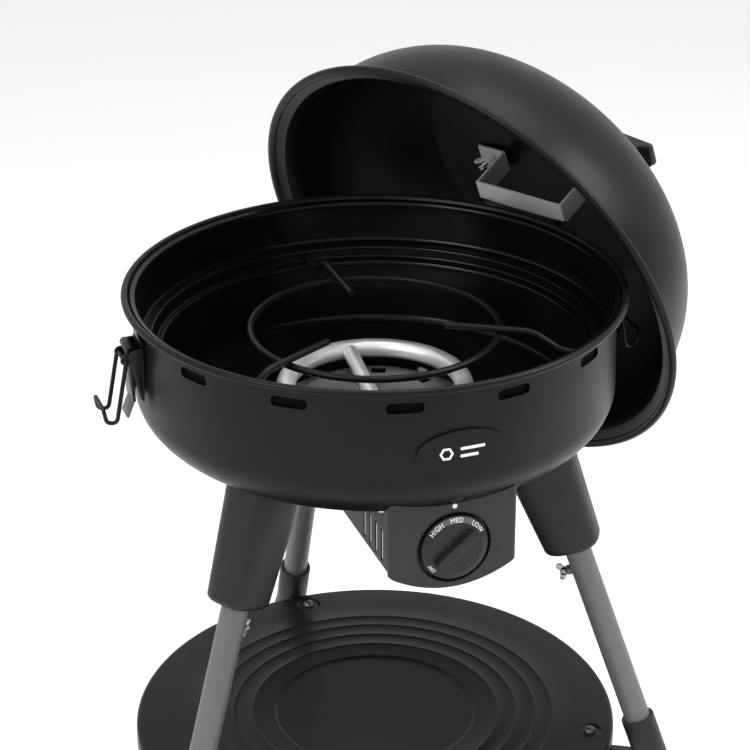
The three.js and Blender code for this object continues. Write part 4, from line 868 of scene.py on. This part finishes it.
for side, x in (("left", bolt_reach), ("right", -bolt_reach)):
    rod = moved(threads(3, feet_top - 20, 172), shift(x, 0, 0))
    put_on_grill("handle_bolt_" + side, moved(rod, lid_place), "steel_screws", "lid", ["lid_bolt_" + side])
    hub = turned(softened([(3.5, 0), (8.4, 0), (8.4, 2), (7, 3), (7.6, 4.4), (6.2, 5.6), (6.6, 7.4),
                           (5, 10.4), (3.5, 10.4)], 0.5, 3), 32)
    wing = softened([(4.2, 2), (10, 4), (13.6, 8.4), (13, 12.6), (9.6, 12.6), (4.2, 8)], 2.2, 4)
    wings = [moved(slab(wing, 2.6, 0.9), turn(a, "Z") @ shift(0, 1.3, 0) @ turn(90, "X")) for a in (0, 180)]
    nut = moved(together(hub, *wings), lid_place @ shift(x, 0, feet_low - 0.3) @ turn(180, "X"))
    put_on_grill("wing_nut_" + side, nut, "zinc_bracket", "lid_nut_" + side, ["lid_wing_nut_" + side])

# %% [markdown]
# ## Lid holder
# A slotted rail on the back of the bowl takes the bracket's tab. It is a channel on a small web
# whose flange is riveted to the wall. The channel lies square to the lid, not to the bowl, so it is
# drawn in the lid's frame.

# %% Lid holder
rail_view = softened([(-18, 93.8), (-8.2, 93.8), (-8.2, 97.2), (-13.4, 97.2), (-13.4, 101.4), (-8.2, 101.4),
                      (-8.2, 104.7), (-18, 104.7)], 0.8, 2)
rail = moved(slab(rail_view, 90, 0.8), lid_place @ shift(-45, 0, 0) @ turn(90, "Z") @ turn(90, "X"))
rail_at = lid_place @ Vector((0, -14, 94))
reach = math.hypot(rail_at.x, rail_at.y)
bracket_at = lid_middle + lid_up * 98
holder_turn = turn(math.degrees(math.atan2(bracket_at.y, bracket_at.x)), "Z")
web = moved(slab(softened(rectangle(226.6, reach, -30, 30), 2), 3, 0.6),
            holder_turn @ shift(0, 0, rail_at.z - 2.5))
flange = turned([(226.2, -22), (228.4, -22), (228.4, 22), (226.2, 22)], 120)
patch = slab(softened(rectangle(210, 240, -30, 30), 4), 60)
flange = combined(moved(flange, shift(0, 0, rail_at.z - 18)),
                  [moved(patch, holder_turn @ shift(0, 0, rail_at.z - 48))], "INTERSECT")
put_on_grill("lid_rail", together(rail, web, flange), "satin_enamel", "stand", ["lid_holder"])

# %% [markdown]
# ## Floor
# A wide pale floor catches a soft shadow. It rides on no body, so it isn't part of the grill.

# %% Floor and finish
ground = bmesh.new()
bmesh.ops.create_grid(ground, x_segments=1, y_segments=1, size=9)
ground_mesh = bpy.data.meshes.new("studio_floor")
ground.to_mesh(ground_mesh)
ground.free()
floor = bpy.data.objects.new("studio_floor", ground_mesh)
floor.location = (0, 0, -0.0005)
bpy.context.scene.collection.objects.link(floor)
ground_mesh.materials.append(make_finish("floor_paper", (0.93, 0.93, 0.93), 0.9, 0, ((90.0, 0.02, 0.0005),),
                                         0.02, 3, 0.01))
